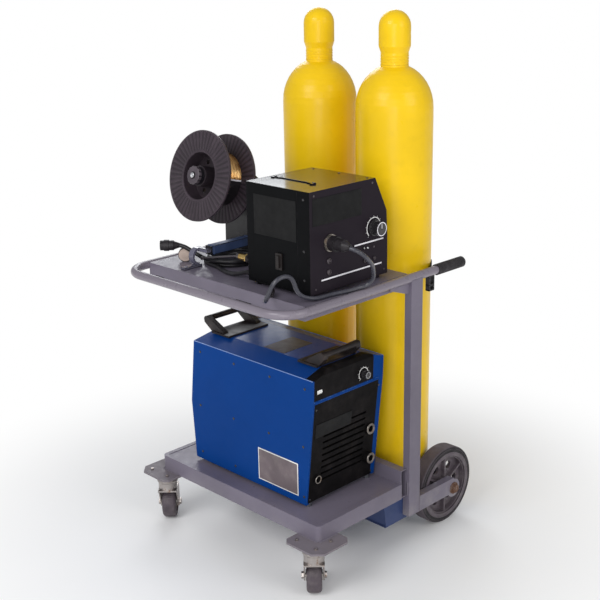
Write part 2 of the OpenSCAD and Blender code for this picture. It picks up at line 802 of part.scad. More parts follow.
// Half outline of the cap: skirt, flare, straight body and dome
function cap_outline(inset) =
    let (r = cap_r - inset, skirt = cap_skirt_r - inset, dome = cap_r - inset)
    concat(
        [[0, cap_low - (inset > 0 ? 1 : 0)], [skirt, cap_low - (inset > 0 ? 1 : 0)],
         [skirt, cap_low + 34], [r, cap_low + 52]],
        [for (i = [0 : 8]) [r * cos(90 * i / 8), cap_top - cap_r + dome * sin(90 * i / 8)]]
    );

module valve_cap(side) {
    color([0.95, 0.77, 0.08]) cart() translate([side * cyl_x, cyl_y, 0]) difference() {
        rotate_extrude() polygon(cap_outline(0));
        rotate_extrude() polygon(cap_outline(cap_wall));
        rotate([0, 0, 40]) {
            rod_x(7, [cap_r - 20, cap_r + 5], 0, cap_low + 88);
            rod_x(7, [-cap_r - 5, -cap_r + 20], 0, cap_low + 40);
        }
    }
}

module cap_right() { valve_cap(1); }
module cap_left() { valve_cap(-1); }

// Power source -------------------------------------------------------------

function power_side_points(inset) = [
    [power_rear - 12 + inset, power_z + inset], [power_rear - 24 + inset, power_z + 190],
    [power_rear + inset, power_side], [power_rear + 16 + inset, power_top - inset],
    [power_front - 12 - inset, power_top - inset], [power_front - inset, power_top - 10 - inset],
    [power_front - 3 - inset, power_split], [power_foot_front - inset, power_z + inset]
];

function power_end_points(inset) = [
    [power_y + inset, power_z + inset], [power_y + inset, power_side - inset * 0.7],
    [power_y + power_shoulder, power_top - inset], [power_back - power_shoulder, power_top - inset],
    [power_back - inset, power_side - inset * 0.7], [power_back - inset, power_z + inset]
];

// Outer form of the case, made smaller all round by an inset
module power_form(inset) {
    intersection() {
        profile_xz(power_side_points(inset), [power_y, power_back]);
        profile_yz(power_end_points(inset), [power_rear - 40, power_front + 10]);
    }
}

// Space that the two front panels fill
module front_opening(side_gap) {
    slab([power_foot_front - 24, power_front + 20], [power_y + 6 - side_gap, power_back - 18 + side_gap],
         [power_z + 4 - side_gap, power_split - 6 + side_gap]);
    slab([power_front - 34, power_front + 20], [power_y + 3 - side_gap, power_back - 44 + side_gap],
         [power_split + 5 - side_gap, power_top + 10]);
}

module power_case() {
    slots = 12;
    color([0.08, 0.22, 0.50]) cart() difference() {
        power_form(0);
        power_form(power_sheet);
        front_opening(0.2);
        slab([power_rear - 40, power_front], [power_y + 12, power_back - 12], [power_z - 1, power_z + 10]);
        for (i = [0 : slots - 1])
            slab([power_rear - 60, power_rear + 8],
                 [power_y + 36 + i * 19, power_y + 46 + i * 19], [power_z + 60, power_z + 250]);
    }
}

module power_base() {
    color([0.16, 0.17, 0.19]) cart() {
        slab([power_rear - 8, power_foot_front - 26], [power_y + 14, power_back - 14], [power_z, power_z + 4]);
        for (x = [power_rear + 30, power_foot_front - 12], y = [power_y + 22, power_back - 22])
            rod_z(11, x, y, [deck_top - recess_depth, power_z]);
        slab([power_foot_front - 27, power_foot_front - 2], [power_y + 12 + gap, power_back - 20],
             [power_z, power_z + 3.6]);
        slab([power_rear - 7, power_rear - 4], [power_y + 60, power_back - 60], [power_z + 4, power_z + 120]);
    }
}

module control_panel() {
    low = power_split + 5;
    color([0.07, 0.07, 0.08]) cart() difference() {
        intersection() {
            power_form(0);
            slab([power_front - 33.8, power_front + 20], [power_y + 3, power_back - 44],
                 [low, power_top + 10]);
        }
        intersection() {
            power_form(3);
            slab([power_front - 40, power_front + 20], [power_y + 6, power_back - 47],
                 [low + 3, power_top + 10]);
        }
        rod_x(3 + run, [power_front - 10, power_front + 10], knob_y, knob_z);
        slab([power_front - 10, power_front + 10], [switch_y - 11, switch_y + 11],
             [switch_z - 7.5, switch_z + 7.5]);
    }
}
knob_y = power_y + 205;
knob_z = power_side - 33;
switch_y = power_y + 26;
switch_z = power_side - 38;

// Louvre cut: a slot that rises towards the inside
module louvre_panel() {
    top = power_split - 6;
    low = power_z + 4;
    slot_low = low + 58;
    pitch = (top - 76 - slot_low) / louvre_n;
    color([0.06, 0.06, 0.07]) cart() difference() {
        intersection() {
            difference() {
                power_form(0);
                translate([-10, 0, 0]) power_form(0);
            }
            slab([power_foot_front - 23.8, power_front + 20], [power_y + 6, power_back - 18], [low, top]);
        }
        for (i = [0 : louvre_n - 1])
            slab([power_foot_front - 30, power_front + 20], [power_y + 52, power_back - 62],
                 [slot_low + i * pitch, slot_low + i * pitch + 7]);
        for (z = socket_heights) rod_x(socket_r + 9, [power_foot_front - 40, power_front + 20], socket_y, z);
        rod_x(13, [power_foot_front - 40, power_front + 20], small_socket_y, small_socket_z);
    }
}
socket_y = power_back - 42;
socket_heights = [power_z + 72, power_z + 168];
socket_face = power_foot_front + 26;
small_socket_y = power_y + 36;
small_socket_z = power_z + 76;

module carry_handles() {
    bar_r = 9;
    near = power_y + 62;
    far = power_back - 96;
    foot_z = power_top;
    color([0.06, 0.05, 0.05]) cart() {
        // rear handle leans out over the back of the case
        for (y = [near, far]) profile_xz([
            [power_rear + 30, foot_z], [power_rear + 84, foot_z], [power_rear + 78, foot_z + 12],
            [power_rear + 2, foot_z + 47], [power_rear - 10, foot_z + 38], [power_rear - 8, foot_z + 26]
        ], [y - 9, y + 9]);
        rod_y(bar_r, power_rear, [near - 9, far + 9], foot_z + 37);
        slab([power_rear + 30, power_rear + 110], [near - 14, far + 14], [foot_z, foot_z + 6]);
        // front handle leans over the control panel
        for (y = [near, far]) profile_xz([
            [power_front - 88, foot_z], [power_front - 36, foot_z], [power_front - 12, foot_z + 28],
            [power_front - 14, foot_z + 40], [power_front - 26, foot_z + 47], [power_front - 84, foot_z + 12]
        ], [y - 9, y + 9]);
        rod_y(bar_r, power_front - 22, [near - 9, far + 9], foot_z + 37);
        slab([power_front - 112, power_front - 36], [near - 14, far + 14], [foot_z, foot_z + 6]);
    }
}

module power_knob() {
    face = power_front + 0.4;
    color([0.16, 0.15, 0.16]) cart() {
        difference() {
            rod_x(power_knob_r, [face, face + 19], knob_y, knob_z);
            for (i = [0 : 11]) translate([0, knob_y, knob_z]) rotate([i * 30, 0, 0])
                rod_x(1.4, [face + 4, face + 20], power_knob_r + 0.4, 0);
            slab([face + 17.5, face + 20], [knob_y - 0.8, knob_y + 0.8], [knob_z, knob_z + 20]);
        }
        rod_x(3, [power_front - 16, face + 1], knob_y, knob_z);
    }
}

module power_switch() {
    color([0.85, 0.85, 0.84]) cart() translate([power_front - 6, switch_y, switch_z]) difference() {
        union() {
            translate([-6, -10, -6.6]) cube([9, 20, 13.2]);
            rotate([90, 0, 0]) cylinder(r = 4, h = 20, center = true);
        }
        rotate([0, 34, 0]) translate([4.2, -12, -10]) cube([10, 24, 20]);
    }
}

module output_sockets() {
    color([0.12, 0.11, 0.11]) cart() {
        for (z = socket_heights) difference() {
            union() {
                rod_x(socket_r + 8.8, [socket_face - 46, socket_face], socket_y, z);
                rod_x(socket_r + 14, [socket_face - 50, socket_face - 42], socket_y, z);
            }
            rod_x(socket_r, [socket_face - socket_depth, socket_face + 1], socket_y, z);
        }
        difference() {
            rod_x(12.8, [power_foot_front - 20, power_foot_front + 16], small_socket_y, small_socket_z);
            rod_x(9, [power_foot_front + 4, power_foot_front + 17], small_socket_y, small_socket_z);
        }
    }
}

fan_x = power_rear + 22;
fan_z = power_z + 150;

module fan() {
    color([0.2, 0.2, 0.21]) cart() translate([fan_x, power_mid_y, fan_z]) rotate([0, 90, 0]) difference() {
        union() {
            cylinder(r = 24, h = 24);
            for (i = [0 : fan_blades - 1]) rotate([0, 0, i * 360 / fan_blades])
                translate([20, 0, 12]) rotate([32, 0, 0]) translate([0, -12, -1]) cube([fan_r - 22, 24, 2]);
        }
        translate([0, 0, -1]) cylinder(r = 4 + run, h = 30);
    }
}

module fan_motor() {
    color([0.5, 0.5, 0.52]) cart() {
        rod_x(4, [fan_x - 2, fan_x + 30], power_mid_y, fan_z);
        rod_x(27, [fan_x + 26, fan_x + 62], power_mid_y, fan_z);
        slab([fan_x + 40, fan_x + 46], [power_mid_y - 20, power_mid_y + 20], [power_z + 4, fan_z]);
        slab([fan_x + 30, fan_x + 56], [power_mid_y - 34, power_mid_y + 34], [power_z + 4, power_z + 8]);
        difference() {
            slab([fan_x + 2, fan_x + 22], [power_mid_y - 88, power_mid_y + 88], [power_z + 4, fan_z + 88]);
            rod_x(fan_r + 5, [fan_x, fan_x + 24], power_mid_y, fan_z);
        }
    }
}

module transformer() {
    x = -60;
    color([0.35, 0.30, 0.26]) cart() {
        difference() {
            slab([x, x + 130], [power_y + 60, power_y + 200], [power_z + 4, power_z + 124]);
            slab([x + 34, x + 54], [power_y, power_back], [power_z + 30, power_z + 98]);
            slab([x + 78, x + 98], [power_y, power_back], [power_z + 30, power_z + 98]);
        }
        difference() {
            slab([x + 34.3, x + 97.7], [power_y + 48, power_y + 212], [power_z + 30.3, power_z + 97.7]);
            slab([x + 53.7, x + 78.3], [power_y + 59.7, power_y + 200.3], [power_z, power_z + 130]);
        }
    }
}

module heat_sink() {
    x = 96;
    fins = 9;
    color([0.66, 0.67, 0.69]) cart() {
        slab([x, x + 8], [power_y + 34, power_y + 230], [power_z + 4, power_z + 150]);
        for (i = [0 : fins - 1])
            slab([x + 8 - eps, x + 44], [power_y + 36 + i * 23, power_y + 39 + i * 23],
                 [power_z + 4, power_z + 150]);
    }
}

module power_board() {
    z = power_z + 170;
    color([0.10, 0.32, 0.18]) cart() {
        slab([-60, 180], [power_y + 40, power_y + 240], [z, z + 2]);
        for (x = [-50, 170], y = [power_y + 48, power_y + 232]) rod_z(4, x, y, [power_z + 4, z]);
        for (x = [-20, 40, 100]) rod_z(17, x, power_y + 90, [z + 2, z + 48]);
        slab([-40, 60], [power_y + 140, power_y + 210], [z + 2, z + 30]);
        slab([90, 160], [power_y + 150, power_y + 220], [z + 2, z + 18]);
    }
}

// Wire feeder --------------------------------------------------------------

function feed_points(inset) = [
    [feed_y + inset, feed_z + inset], [feed_y + inset, feed_top - inset],
    [feed_y + feed_top_w - inset * 0.6, feed_top - inset],
    [feed_back - 4 - inset, feed_top - 98], [feed_back - inset, feed_top - 170],
    [feed_back - inset, feed_z + inset]
];

module feeder_case() {
    inner_rear = feed_rear + feed_sheet;
    inner_front = feed_front - feed_sheet;
    color([0.07, 0.07, 0.08]) cart() {
        difference() {
            profile_yz(feed_points(0), [feed_rear, feed_front]);
            profile_yz(feed_points(feed_sheet), [inner_rear, inner_front]);
            // the door's own share of the side and the top
            slab([door_x0 - 0.5, door_x1 + 0.5], [feed_y - 1, feed_y + 12], [door_low - 1, feed_top + 1]);
            slab([door_x0 - 0.5, door_x1 + 0.5], [feed_y - 1, hinge_y - hinge_r], [feed_top - 12, feed_top + 1]);
            rod_x(3 + run, [feed_front - 10, feed_front + 5], speed_y, speed_z);
            rod_x(norm([jog_r, jog_half]) + gap, [feed_front - 10, feed_front + 5], jog_y, jog_z);
            rod_x(gun_collar_r + 0.1, [feed_front - 10, feed_front + 5], wire_y, wire_z);
            rod_x(9.1, [feed_rear - 5, feed_rear + 10], inlet_y, inlet_z);
            rod_x(5, [feed_rear - 5, feed_rear + 10], wire_y, wire_z);
            for (x = knuckles) rod_x(hinge_r + gap, [x - gap, x + 10 + gap], hinge_y, hinge_z);
        }
        difference() {
            slab([inner_rear, inner_front], [partition_y, partition_y + 4],
                 [feed_z + feed_sheet, feed_top - feed_sheet]);
            rod_y(motor_bore, roll_x, [partition_y - 5, partition_y + 10], roll_low_z);
        }
        // front frame beside the door
        slab([door_x1 + 0.5, door_x1 + 3], [feed_y + feed_sheet, feed_y + 16],
             [feed_z + feed_sheet, feed_top - feed_sheet]);
        // hinge lugs and pin along the top seam
        for (x = [door_x0 + 28, door_x1 - 44])
            difference() {
                slab([x, x + 16], [hinge_y - hinge_r, hinge_y + 8], [feed_top - feed_sheet, hinge_z + 2]);
                slab([x - 1, x + 17], [hinge_y - 6, hinge_y], [feed_top - 5, hinge_z - 3]);
            }
        rod_x(2, [door_x0 + 16, door_x1 - 16], hinge_y, hinge_z);
        // bright trim bars on the control face
        slab([feed_front, feed_front + 2], [feed_y + 171, feed_back - 20], [feed_z + 104, feed_z + 108]);
        slab([feed_front, feed_front + 2], [feed_y + 40, feed_back - 27], [feed_z + 34, feed_z + 38]);
        for (x = [feed_rear + 24, feed_front - 24], y = [feed_y + 26, feed_back - 26])
            rod_z(12, x, y, [pan_top, feed_z]);
    }
}
speed_y = feed_y + 253;
speed_z = feed_z + 143;
jog_y = feed_y + 212;
jog_z = feed_z + 92;
inlet_y = feed_y + 21;
inlet_z = feed_z + 53;
jog_r = 4.5;
jog_half = 3;
gun_collar_r = 20;
gun_collar_out = 8;
knuckles = [door_x0 + 17, door_x1 - 27];
motor_bore = 8;

module feeder_door() {
    color([0.06, 0.06, 0.06]) cart() difference() {
        union() {
            slab([door_x0, door_x1], [feed_y, feed_y + 2], [door_low, feed_top]);
            slab([door_x0, door_x1], [feed_y, hinge_y - hinge_r - 1], [feed_top - 2, feed_top]);
            for (x = knuckles) {
                rod_x(hinge_r, [x, x + 10], hinge_y, hinge_z);
                slab([x, x + 10], [hinge_y - 12, hinge_y], [feed_top, hinge_z + 2.5]);
            }
            slab([door_x0, door_x0 + 2], [feed_y, feed_y + 10], [door_low, feed_top]);
            slab([door_x1 - 2, door_x1], [feed_y, feed_y + 10], [door_low, feed_top]);
        }
        rod_x(2 + run, [door_x0, door_x1], hinge_y, hinge_z);
        rod_y(4 + run, latch_x, [feed_y - 1, feed_y + 4], latch_z);
    }
}
latch_x = feed_rear + 129;
latch_z = feed_z + 77;

module door_latch() {
    color([0.20, 0.19, 0.20]) cart() {
        slab([latch_x - 12, latch_x + 12], [feed_y - 6, feed_y - gap], [latch_z - 23, latch_z + 23]);
        slab([latch_x - 5, latch_x + 5], [feed_y - 11, feed_y - 6 + eps], [latch_z - 17, latch_z + 17]);
        rod_y(4, latch_x, [feed_y - 1, feed_y + 12], latch_z);
        slab([latch_x - 4, latch_x + 4], [feed_y + 4, feed_y + 7], [latch_z - 6, latch_z + 24]);
    }
}

module speed_knob() {
    face = feed_front + 0.4;
    color([0.14, 0.13, 0.14]) cart() {
        rod_x(speed_knob_r + 2.5, [face, face + 6], speed_y, speed_z);
        difference() {
            rod_x(speed_knob_r, [face + 5, face + 30], speed_y, speed_z);
            for (i = [0 : 15]) translate([0, speed_y, speed_z]) rotate([i * 22.5, 0, 0])
                rod_x(1.5, [face + 8, face + 31], speed_knob_r + 0.4, 0);
            slab([face + 28.5, face + 31], [speed_y - 1, speed_y + 1], [speed_z, speed_z + speed_knob_r + 1]);
        }
        rod_x(3, [feed_front - 16, face + 1], speed_y, speed_z);
    }
}

module jog_switch() {
    color([0.70, 0.70, 0.71]) cart() translate([feed_front - 1, jog_y, jog_z]) {
        rotate([90, 0, 0]) cylinder(r = jog_r, h = 2 * jog_half, center = true);
        rotate([0, 78, 0]) rotate_extrude()
            polygon([[0, 0], [2, 0], [2, 12], [3, 14.5], [3, 16.5], [2, 18], [0, 18.4]]);
    }
}

module gun_socket() {
    color([0.62, 0.53, 0.33]) cart() difference() {
        union() {
            rod_x(gun_collar_r, [feed_front - 26, feed_front + gun_collar_out], wire_y, wire_z);
            rod_x(gun_collar_r + 4, [feed_front + gap, feed_front + 5], wire_y, wire_z);
            slab([feed_front - 26, feed_front - feed_sheet - gap], [wire_y - 24, wire_y + 24],
                 [wire_z - 30, wire_z + 24]);
            slab([feed_front - 20, feed_front - 8], [wire_y + 20, partition_y], [wire_z - 20, wire_z + 10]);
        }
        rod_x(gun_bore_r, [feed_front - 30, feed_front + 20], wire_y, wire_z);
    }
}

module drive_motor() {
    color([0.32, 0.33, 0.36]) cart() {
        rod_y(motor_r, roll_x, [partition_y + 4, partition_y + 104], roll_low_z);
        rod_y(motor_r - 8, roll_x, [partition_y + 104, partition_y + 118], roll_low_z);
        rod_y(7.5, roll_x, [wire_y + 14, partition_y + 5], roll_low_z);
        rod_y(5, roll_x, [wire_y - 13, wire_y + 15], roll_low_z);
        rod_y(9, roll_x, [wire_y - 14, wire_y - 9 - gap], roll_low_z);
        // mounting block of the pressure arm with its pivot pin
        slab([arm_pivot_x - 12, arm_pivot_x + 12], [wire_y + 14, partition_y],
             [roll_low_z - 10, arm_pivot_z + 10]);
        rod_y(4, arm_pivot_x, [wire_y - 14, wire_y + 15], arm_pivot_z);
    }
}

module drive_roll() {
    color([0.60, 0.60, 0.62]) cart() translate([roll_x, wire_y, roll_low_z]) rotate([-90, 0, 0]) difference() {
        rotate_extrude() difference() {
            translate([5 + run, -9]) square([roll_r - 5 - run, 18]);
            translate([roll_r, 0]) circle(1, $fn = 16);
        }
        for (i = [0 : 3]) rotate([0, 0, i * 90]) translate([12, 0, -12]) cylinder(r = 1.6, h = 6);
    }
}

module pressure_arm() {
    top = roll_high_z + 16;
    color([0.40, 0.41, 0.43]) cart() {
        difference() {
            union() {
                for (y = [[wire_y - 14, wire_y - 10.5], [wire_y + 10.5, wire_y + 13.5]]) {
                    slab([arm_pivot_x - 9, roll_x + 34], y, [roll_high_z - 7, roll_high_z + 9]);
                    rod_y(9, arm_pivot_x, y, arm_pivot_z);
                }
                slab([roll_x + 24, roll_x + 34], [wire_y - 14, wire_y + 13.5], [roll_high_z - 7, top]);
            }
            rod_y(4 + run, arm_pivot_x, [wire_y - 20, wire_y + 20], arm_pivot_z);
        }
        rod_y(4, roll_x, [wire_y - 14, wire_y + 13.5], roll_high_z);
        rod_z(9, roll_x + 29, wire_y, [top, top + 26]);
    }
}

module pressure_roll() {
    color([0.60, 0.60, 0.62]) cart() translate([roll_x, wire_y, roll_high_z]) rotate([-90, 0, 0])
        rotate_extrude() translate([4 + run, -8]) square([roll_r - 4 - run, 16]);
}

module gas_inlet() {
    tube_from = [feed_rear - 66, inlet_y, inlet_z];
    tube_fall = 12.5;
    color([0.74, 0.58, 0.28]) cart() {
        rod_x(9, [feed_rear - 16, feed_rear + 12], inlet_y, inlet_z);
        rod_x(11, [feed_rear - 14, feed_rear - 8], inlet_y, inlet_z);
        translate([feed_rear - 30, inlet_y, inlet_z]) rotate([0, 90, 0]) cylinder(r = 12.5, h = 15, $fn = 6);
        rod_x(9.5, [feed_rear - 66, feed_rear - 29], inlet_y, inlet_z);
        translate(tube_from) rotate([0, -90 - tube_fall, 0]) {
            translate([0, 0, -4]) cylinder(r = 3.5, h = 168);
            translate([0, 0, 158]) cylinder(r = 5, h = 10);
        }
    }
}

// Wire spool ---------------------------------------------------------------

// Frame of the tilted spindle: Z runs along the spindle away from the viewer's
// side, with zero on the outer face of the near flange
module spindle_frame() {
    translate([spool_x, spool_y, spool_z]) rotate([-90 - spool_tilt, 0, 0]) children();
}

module spool_support() {
    brace_top = spool_z - 20;
    plate = [support_y, support_y + support_t];
    bar_x = spool_x + 69;
    bar_z = pan_top + 52;
    bar_half = 13;
    hook_x = spool_x + 35;
    hook_y = feed_y + 23;
    hook_top = pan_top + 58;
    hook_r = 26;
    hook_t = 6;
    hook_half = 9;
    color([0.09, 0.09, 0.10]) cart() {
        profile_xz([
            [spool_x - 46, pan_top], [feed_rear, pan_top], [feed_rear, brace_top - 10],
            [spool_x + 120, brace_top], [spool_x + 40, spool_z + 26], [spool_x - 40, spool_z + 26]
        ], plate);
        slab([spool_x - 46, feed_rear - 2], [support_y + support_t - eps, support_y + 34],
             [pan_top, pan_top + support_t]);
        intersection() {
            spindle_frame() {
                translate([0, 0, spool_w + gap]) cylinder(r = spool_bore_r + 5, h = 60);
                translate([0, 0, -12]) cylinder(r = spool_bore_r - run, h = spool_w + 40);
            }
            slab([spool_x - 200, spool_x + 200], [spool_y - 60, support_y + eps], [pan_top, spool_z + 200]);
        }
        // end knob that keeps the spool on the spindle
        spindle_frame() {
            translate([0, 0, -23]) cylinder(r = spool_bore_r + 0.8, h = 22);
            translate([0, 0, -26]) cylinder(r = 9, h = 4);
        }
        // cross bar and its hooked foot near the front of the shelf
        slab([bar_x - bar_half, bar_x + bar_half], [hook_y + 14, support_y + eps],
             [bar_z - bar_half, bar_z + bar_half]);
        slab([hook_x - hook_half - 1, bar_x + bar_half - 1], [hook_y - 0.5, hook_y + 15],
             [hook_top - 11, hook_top - 1]);
        translate([hook_x, hook_y, hook_top - hook_r]) rotate([90, 0, 90]) rotate([0, 0, 90])
            rotate_extrude(angle = 180) translate([hook_r - hook_t, -hook_half]) square([hook_t, 2 * hook_half]);
        slab([hook_x - hook_half - 1, hook_x + hook_half + 1], [hook_y - 58, hook_y + 8],
             [pan_top, hook_top - 2 * hook_r + 1]);
    }
}

module spool() {
    web_t = 3;
    ribs = 24;
    color([0.11, 0.09, 0.11]) cart() spindle_frame() difference() {
        union() {
            rotate_extrude($fn = 96) {
                for (z = [0, spool_w - flange_t]) translate([drum_r - web_t, z])
                    square([spool_r - drum_r + web_t, flange_t]);
                translate([drum_r - web_t, 0]) square([web_t, spool_w]);
                translate([spool_bore_r, 0]) square([5, spool_w]);
                translate([spool_bore_r + 4, spool_w / 2 - 2]) square([drum_r - spool_bore_r - 5, 4]);
            }
            for (i = [0 : ribs - 1]) rotate([0, 0, i * 360 / ribs])
                translate([drum_r + 4, -1.5, -0.8]) cube([spool_r - drum_r - 8, 3, 1]);
        }
        for (i = [0 : 5]) rotate([0, 0, i * 60]) translate([50, 0, -1]) cylinder(r = 7, h = spool_w + 2);
    }
}

// Wire pack with its outer layer as one unbroken helical wire
wind_pitch = (spool_w - 2 * flange_t - 4) / wind_turns;
wind_centre_r = pack_r - wire_r;
wind_rings = 24;
wind_path = [
    for (i = [0 : wind_turns * wind_rings])
    let (a = 360 * i / wind_rings)
    [wind_centre_r * cos(a), wind_centre_r * sin(a),
     flange_t + 2 + wind_pitch * i / wind_rings]
];

module wire_winding() {
    echo("winding: least gap between turns", least_gap(wind_path, wire_r, wind_rings / 2));
    color([0.78, 0.60, 0.30]) cart() spindle_frame() {
        rotate_extrude($fn = 96) translate([drum_r, flange_t])
            square([(pack_r - 2 * wire_r) * cos(180 / wind_rings) - gap - drum_r, spool_w - 2 * flange_t]);
        swept_tube(wind_path, wire_r, 6);
    }
}

// Leads --------------------------------------------------------------------

// Turns counted from the reversal, eased round it in a half turn
function coil_turns_out(t) =
    let (d = abs(t - coil_turns / 2))
    d < 0.25 ? 0.125 + 2 * d * d : d;
function coil_climb(t) =
    let (s = min(max(2 * (t - coil_turns / 2) + 0.5, 0), 1))
    s * s * (3 - 2 * s);
function coil_point(t) =
    let (r = coil_r - coil_pitch * (coil_turns / 2 - coil_turns_out(t)), a = -90 - 360 * t)
    [coil_x + r * cos(a), coil_y + r * sin(a), coil_z + coil_pitch * coil_climb(t)];
coil_path = concat(
    [[coil_x + coil_run, coil_edge_y, coil_z]],
    [for (i = [0 : coil_turns * coil_rings]) coil_point(i / coil_rings)],
    [[coil_x - coil_run, coil_edge_y, coil_z + coil_pitch]]
);

module control_lead() {
    color([0.05, 0.05, 0.05]) cart() {
        swept_tube(lead_out, control_r, 8);
        swept_tube(lead_end, control_r, 8);
    }
}

module control_coil() {
    echo("coil: least gap between loops", least_gap(coil_path, control_r, coil_rings / 2));
    color([0.05, 0.05, 0.05]) cart() swept_tube(coil_path, control_r, 6);
}

// A round plug along a direction from its cable end
module round_plug(body_r, length) {
    cylinder(r1 = control_r + 0.5, r2 = body_r - 4, h = length * 0.3);
    translate([0, 0, length * 0.3 - eps]) cylinder(r = body_r - 2, h = length * 0.7);
    translate([0, 0, length * 0.55]) cylinder(r = body_r, h = length * 0.25);
}

module shelf_plugs() {
    plug_end = lead_end[len(lead_end) - 1];
    color([0.08, 0.07, 0.08]) cart() {
        translate(plug_end) rotate(plug_turn) difference() {
            round_plug(17, 58);
            translate([0, 0, 50]) cylinder(r = 12, h = 12);
        }
        // round adapter lying on the pan beside the loops
        translate([-262, 66, pan_top + adapter_r + gap]) rotate([90, 0, 45]) difference() {
            union() {
                cylinder(r = adapter_r, h = 14);
                translate([0, 0, -28]) cylinder(r = 14, h = 29);
            }
            translate([0, 0, 12]) cylinder(r = adapter_r - 3, h = 5);
        }
        // gland on the feeder's rear wall
        rod_x(11, [feed_rear - 10, feed_rear], gland_y, gland_z);
        translate([gland_out, gland_y, gland_z]) rotate([0, 90, 0])
            cylinder(r1 = control_r + 1, r2 = 9, h = feed_rear - 10 - gland_out + eps);
    }
}

module gun_lead() {
    color([0.30, 0.28, 0.29]) cart() swept_tube(gun_route, gun_lead_r, 8);
}

module lead_plugs() {
    body = feed_front + gun_collar_out;
    tail = gun_route[0][0];
    color([0.18, 0.17, 0.18]) cart() {
        rod_x(21, [body, body + 20], wire_y, wire_z);
        rod_x(17, [body + 19, body + 46], wire_y, wire_z);
        translate([body + 46 - eps, wire_y, wire_z]) rotate([0, 90, 3])
            cylinder(r1 = 16, r2 = gun_lead_r + 1, h = tail - body - 46);
        rod_x(gun_bore_r - run, [feed_front - 10, body + 1], wire_y, wire_z);
        translate(gun_route[len(gun_route) - 1]) rotate(gun_plug_turn) {
            cylinder(r = gun_lead_r + 1, h = 12);
            translate([0, 0, 12 - eps]) cylinder(r = 9, h = 32);
            translate([0, 0, 20]) cylinder(r = 11, h = 8, $fn = 6);
            translate([0, 0, 43]) cylinder(r = 6, h = 12);
        }
    }
}

// --------------------------------------------------------------------------

deck();
corner_plates();
cylinder_tray();
posts();
axle_arms();
shelf_pan();
shelf_loop();
hand_grips();
cylinder_strap();
axle_bolts();
rear_tyre_right();
rear_tyre_left();
rear_hub_right();
rear_hub_left();
caster_mounts();
caster_fork_right();
caster_fork_left();
caster_tyre_right();
caster_tyre_left();
caster_hub_right();
caster_hub_left();
cylinder_right();
cylinder_left();
cylinder_valves();
valve_wheel_right();
valve_wheel_left();
cap_right();
cap_left();
power_case();
power_base();
control_panel();
louvre_panel();
carry_handles();
power_knob();
power_switch();
output_sockets();
fan();
fan_motor();
transformer();
heat_sink();
power_board();
feeder_case();
feeder_door();
door_latch();
speed_knob();
jog_switch();
gun_socket();
drive_motor();
drive_roll();
pressure_arm();
pressure_roll();
gas_inlet();
spool_support();
spool();
wire_winding();
control_lead();
control_coil();
shelf_plugs();
gun_lead();
lead_plugs();
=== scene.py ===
"""Looks of the two-cylinder welding cart: camera, leads, finishes, fine detail and light."""

import math

import bmesh
import bpy
from mathutils import Matrix, Vector


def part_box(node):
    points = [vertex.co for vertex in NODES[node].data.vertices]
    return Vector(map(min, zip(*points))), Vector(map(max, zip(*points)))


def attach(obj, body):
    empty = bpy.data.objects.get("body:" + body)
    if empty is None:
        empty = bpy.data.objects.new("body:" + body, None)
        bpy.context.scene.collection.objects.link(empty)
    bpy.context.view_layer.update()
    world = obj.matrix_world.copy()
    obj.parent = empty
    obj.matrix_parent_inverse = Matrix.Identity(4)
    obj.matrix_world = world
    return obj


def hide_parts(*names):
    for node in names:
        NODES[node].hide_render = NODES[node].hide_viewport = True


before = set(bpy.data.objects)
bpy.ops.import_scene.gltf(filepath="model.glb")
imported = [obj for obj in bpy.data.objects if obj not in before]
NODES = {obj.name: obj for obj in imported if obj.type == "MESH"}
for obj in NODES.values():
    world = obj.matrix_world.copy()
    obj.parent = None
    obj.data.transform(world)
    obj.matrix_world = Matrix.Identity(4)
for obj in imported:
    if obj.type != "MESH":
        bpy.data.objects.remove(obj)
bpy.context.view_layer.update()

# The frame's middle lies this far behind the deck's front edge, in millimetres.
PLAN_MID = 309.65


def at(x, y, z):
    """A place given in millimetres from the deck's front edge, as a point of the frame."""
    return Vector((x, y - PLAN_MID, z)) / 1000


def corners(node):
    """A node's lowest and highest corner at rest, in millimetres from the deck's front edge."""
    return [(round(x * 1000, 3), round(y * 1000 + PLAN_MID, 3), round(z * 1000, 3))
            for x, y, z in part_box(node)]


def show(name, data):
    """A new object in the scene."""
    obj = bpy.data.objects.new(name, data)
    bpy.context.scene.collection.objects.link(obj)
    return obj


def middle(node):
    """The middle of a node's box at rest, in millimetres from the deck's front edge."""
    return tuple((low + high) / 2 for low, high in zip(*corners(node)))


# Places that several pieces share, read from the CAD, in millimetres.
CYLINDER_X, CYLINDER_Y, _ = middle("cylinder_right")
REAR_AXLE = middle("rear_tyre_right")[1:]
SHELF_TOP = corners("shelf_pan")[1][2]
CASE_NEAR, CASE_FAR = (corner[1] for corner in corners("power_case"))
FEEDER_BACK, FEEDER_NEAR = corners("feeder_case")[0][:2]
FEEDER_FACE = corners("feeder_case")[1][0] - 2
SPEED_KNOB = middle("speed_knob")[1:]
POWER_KNOB = middle("power_knob")[1:]
# The casters' pins stand at this x, and their wheels trail behind them at this angle.
CASTER_X, CASTER_TRAIL, CASTER_AXLE_Z = 331, 33, 51
CASTER_TURN = math.radians(135)


# --- Camera ---


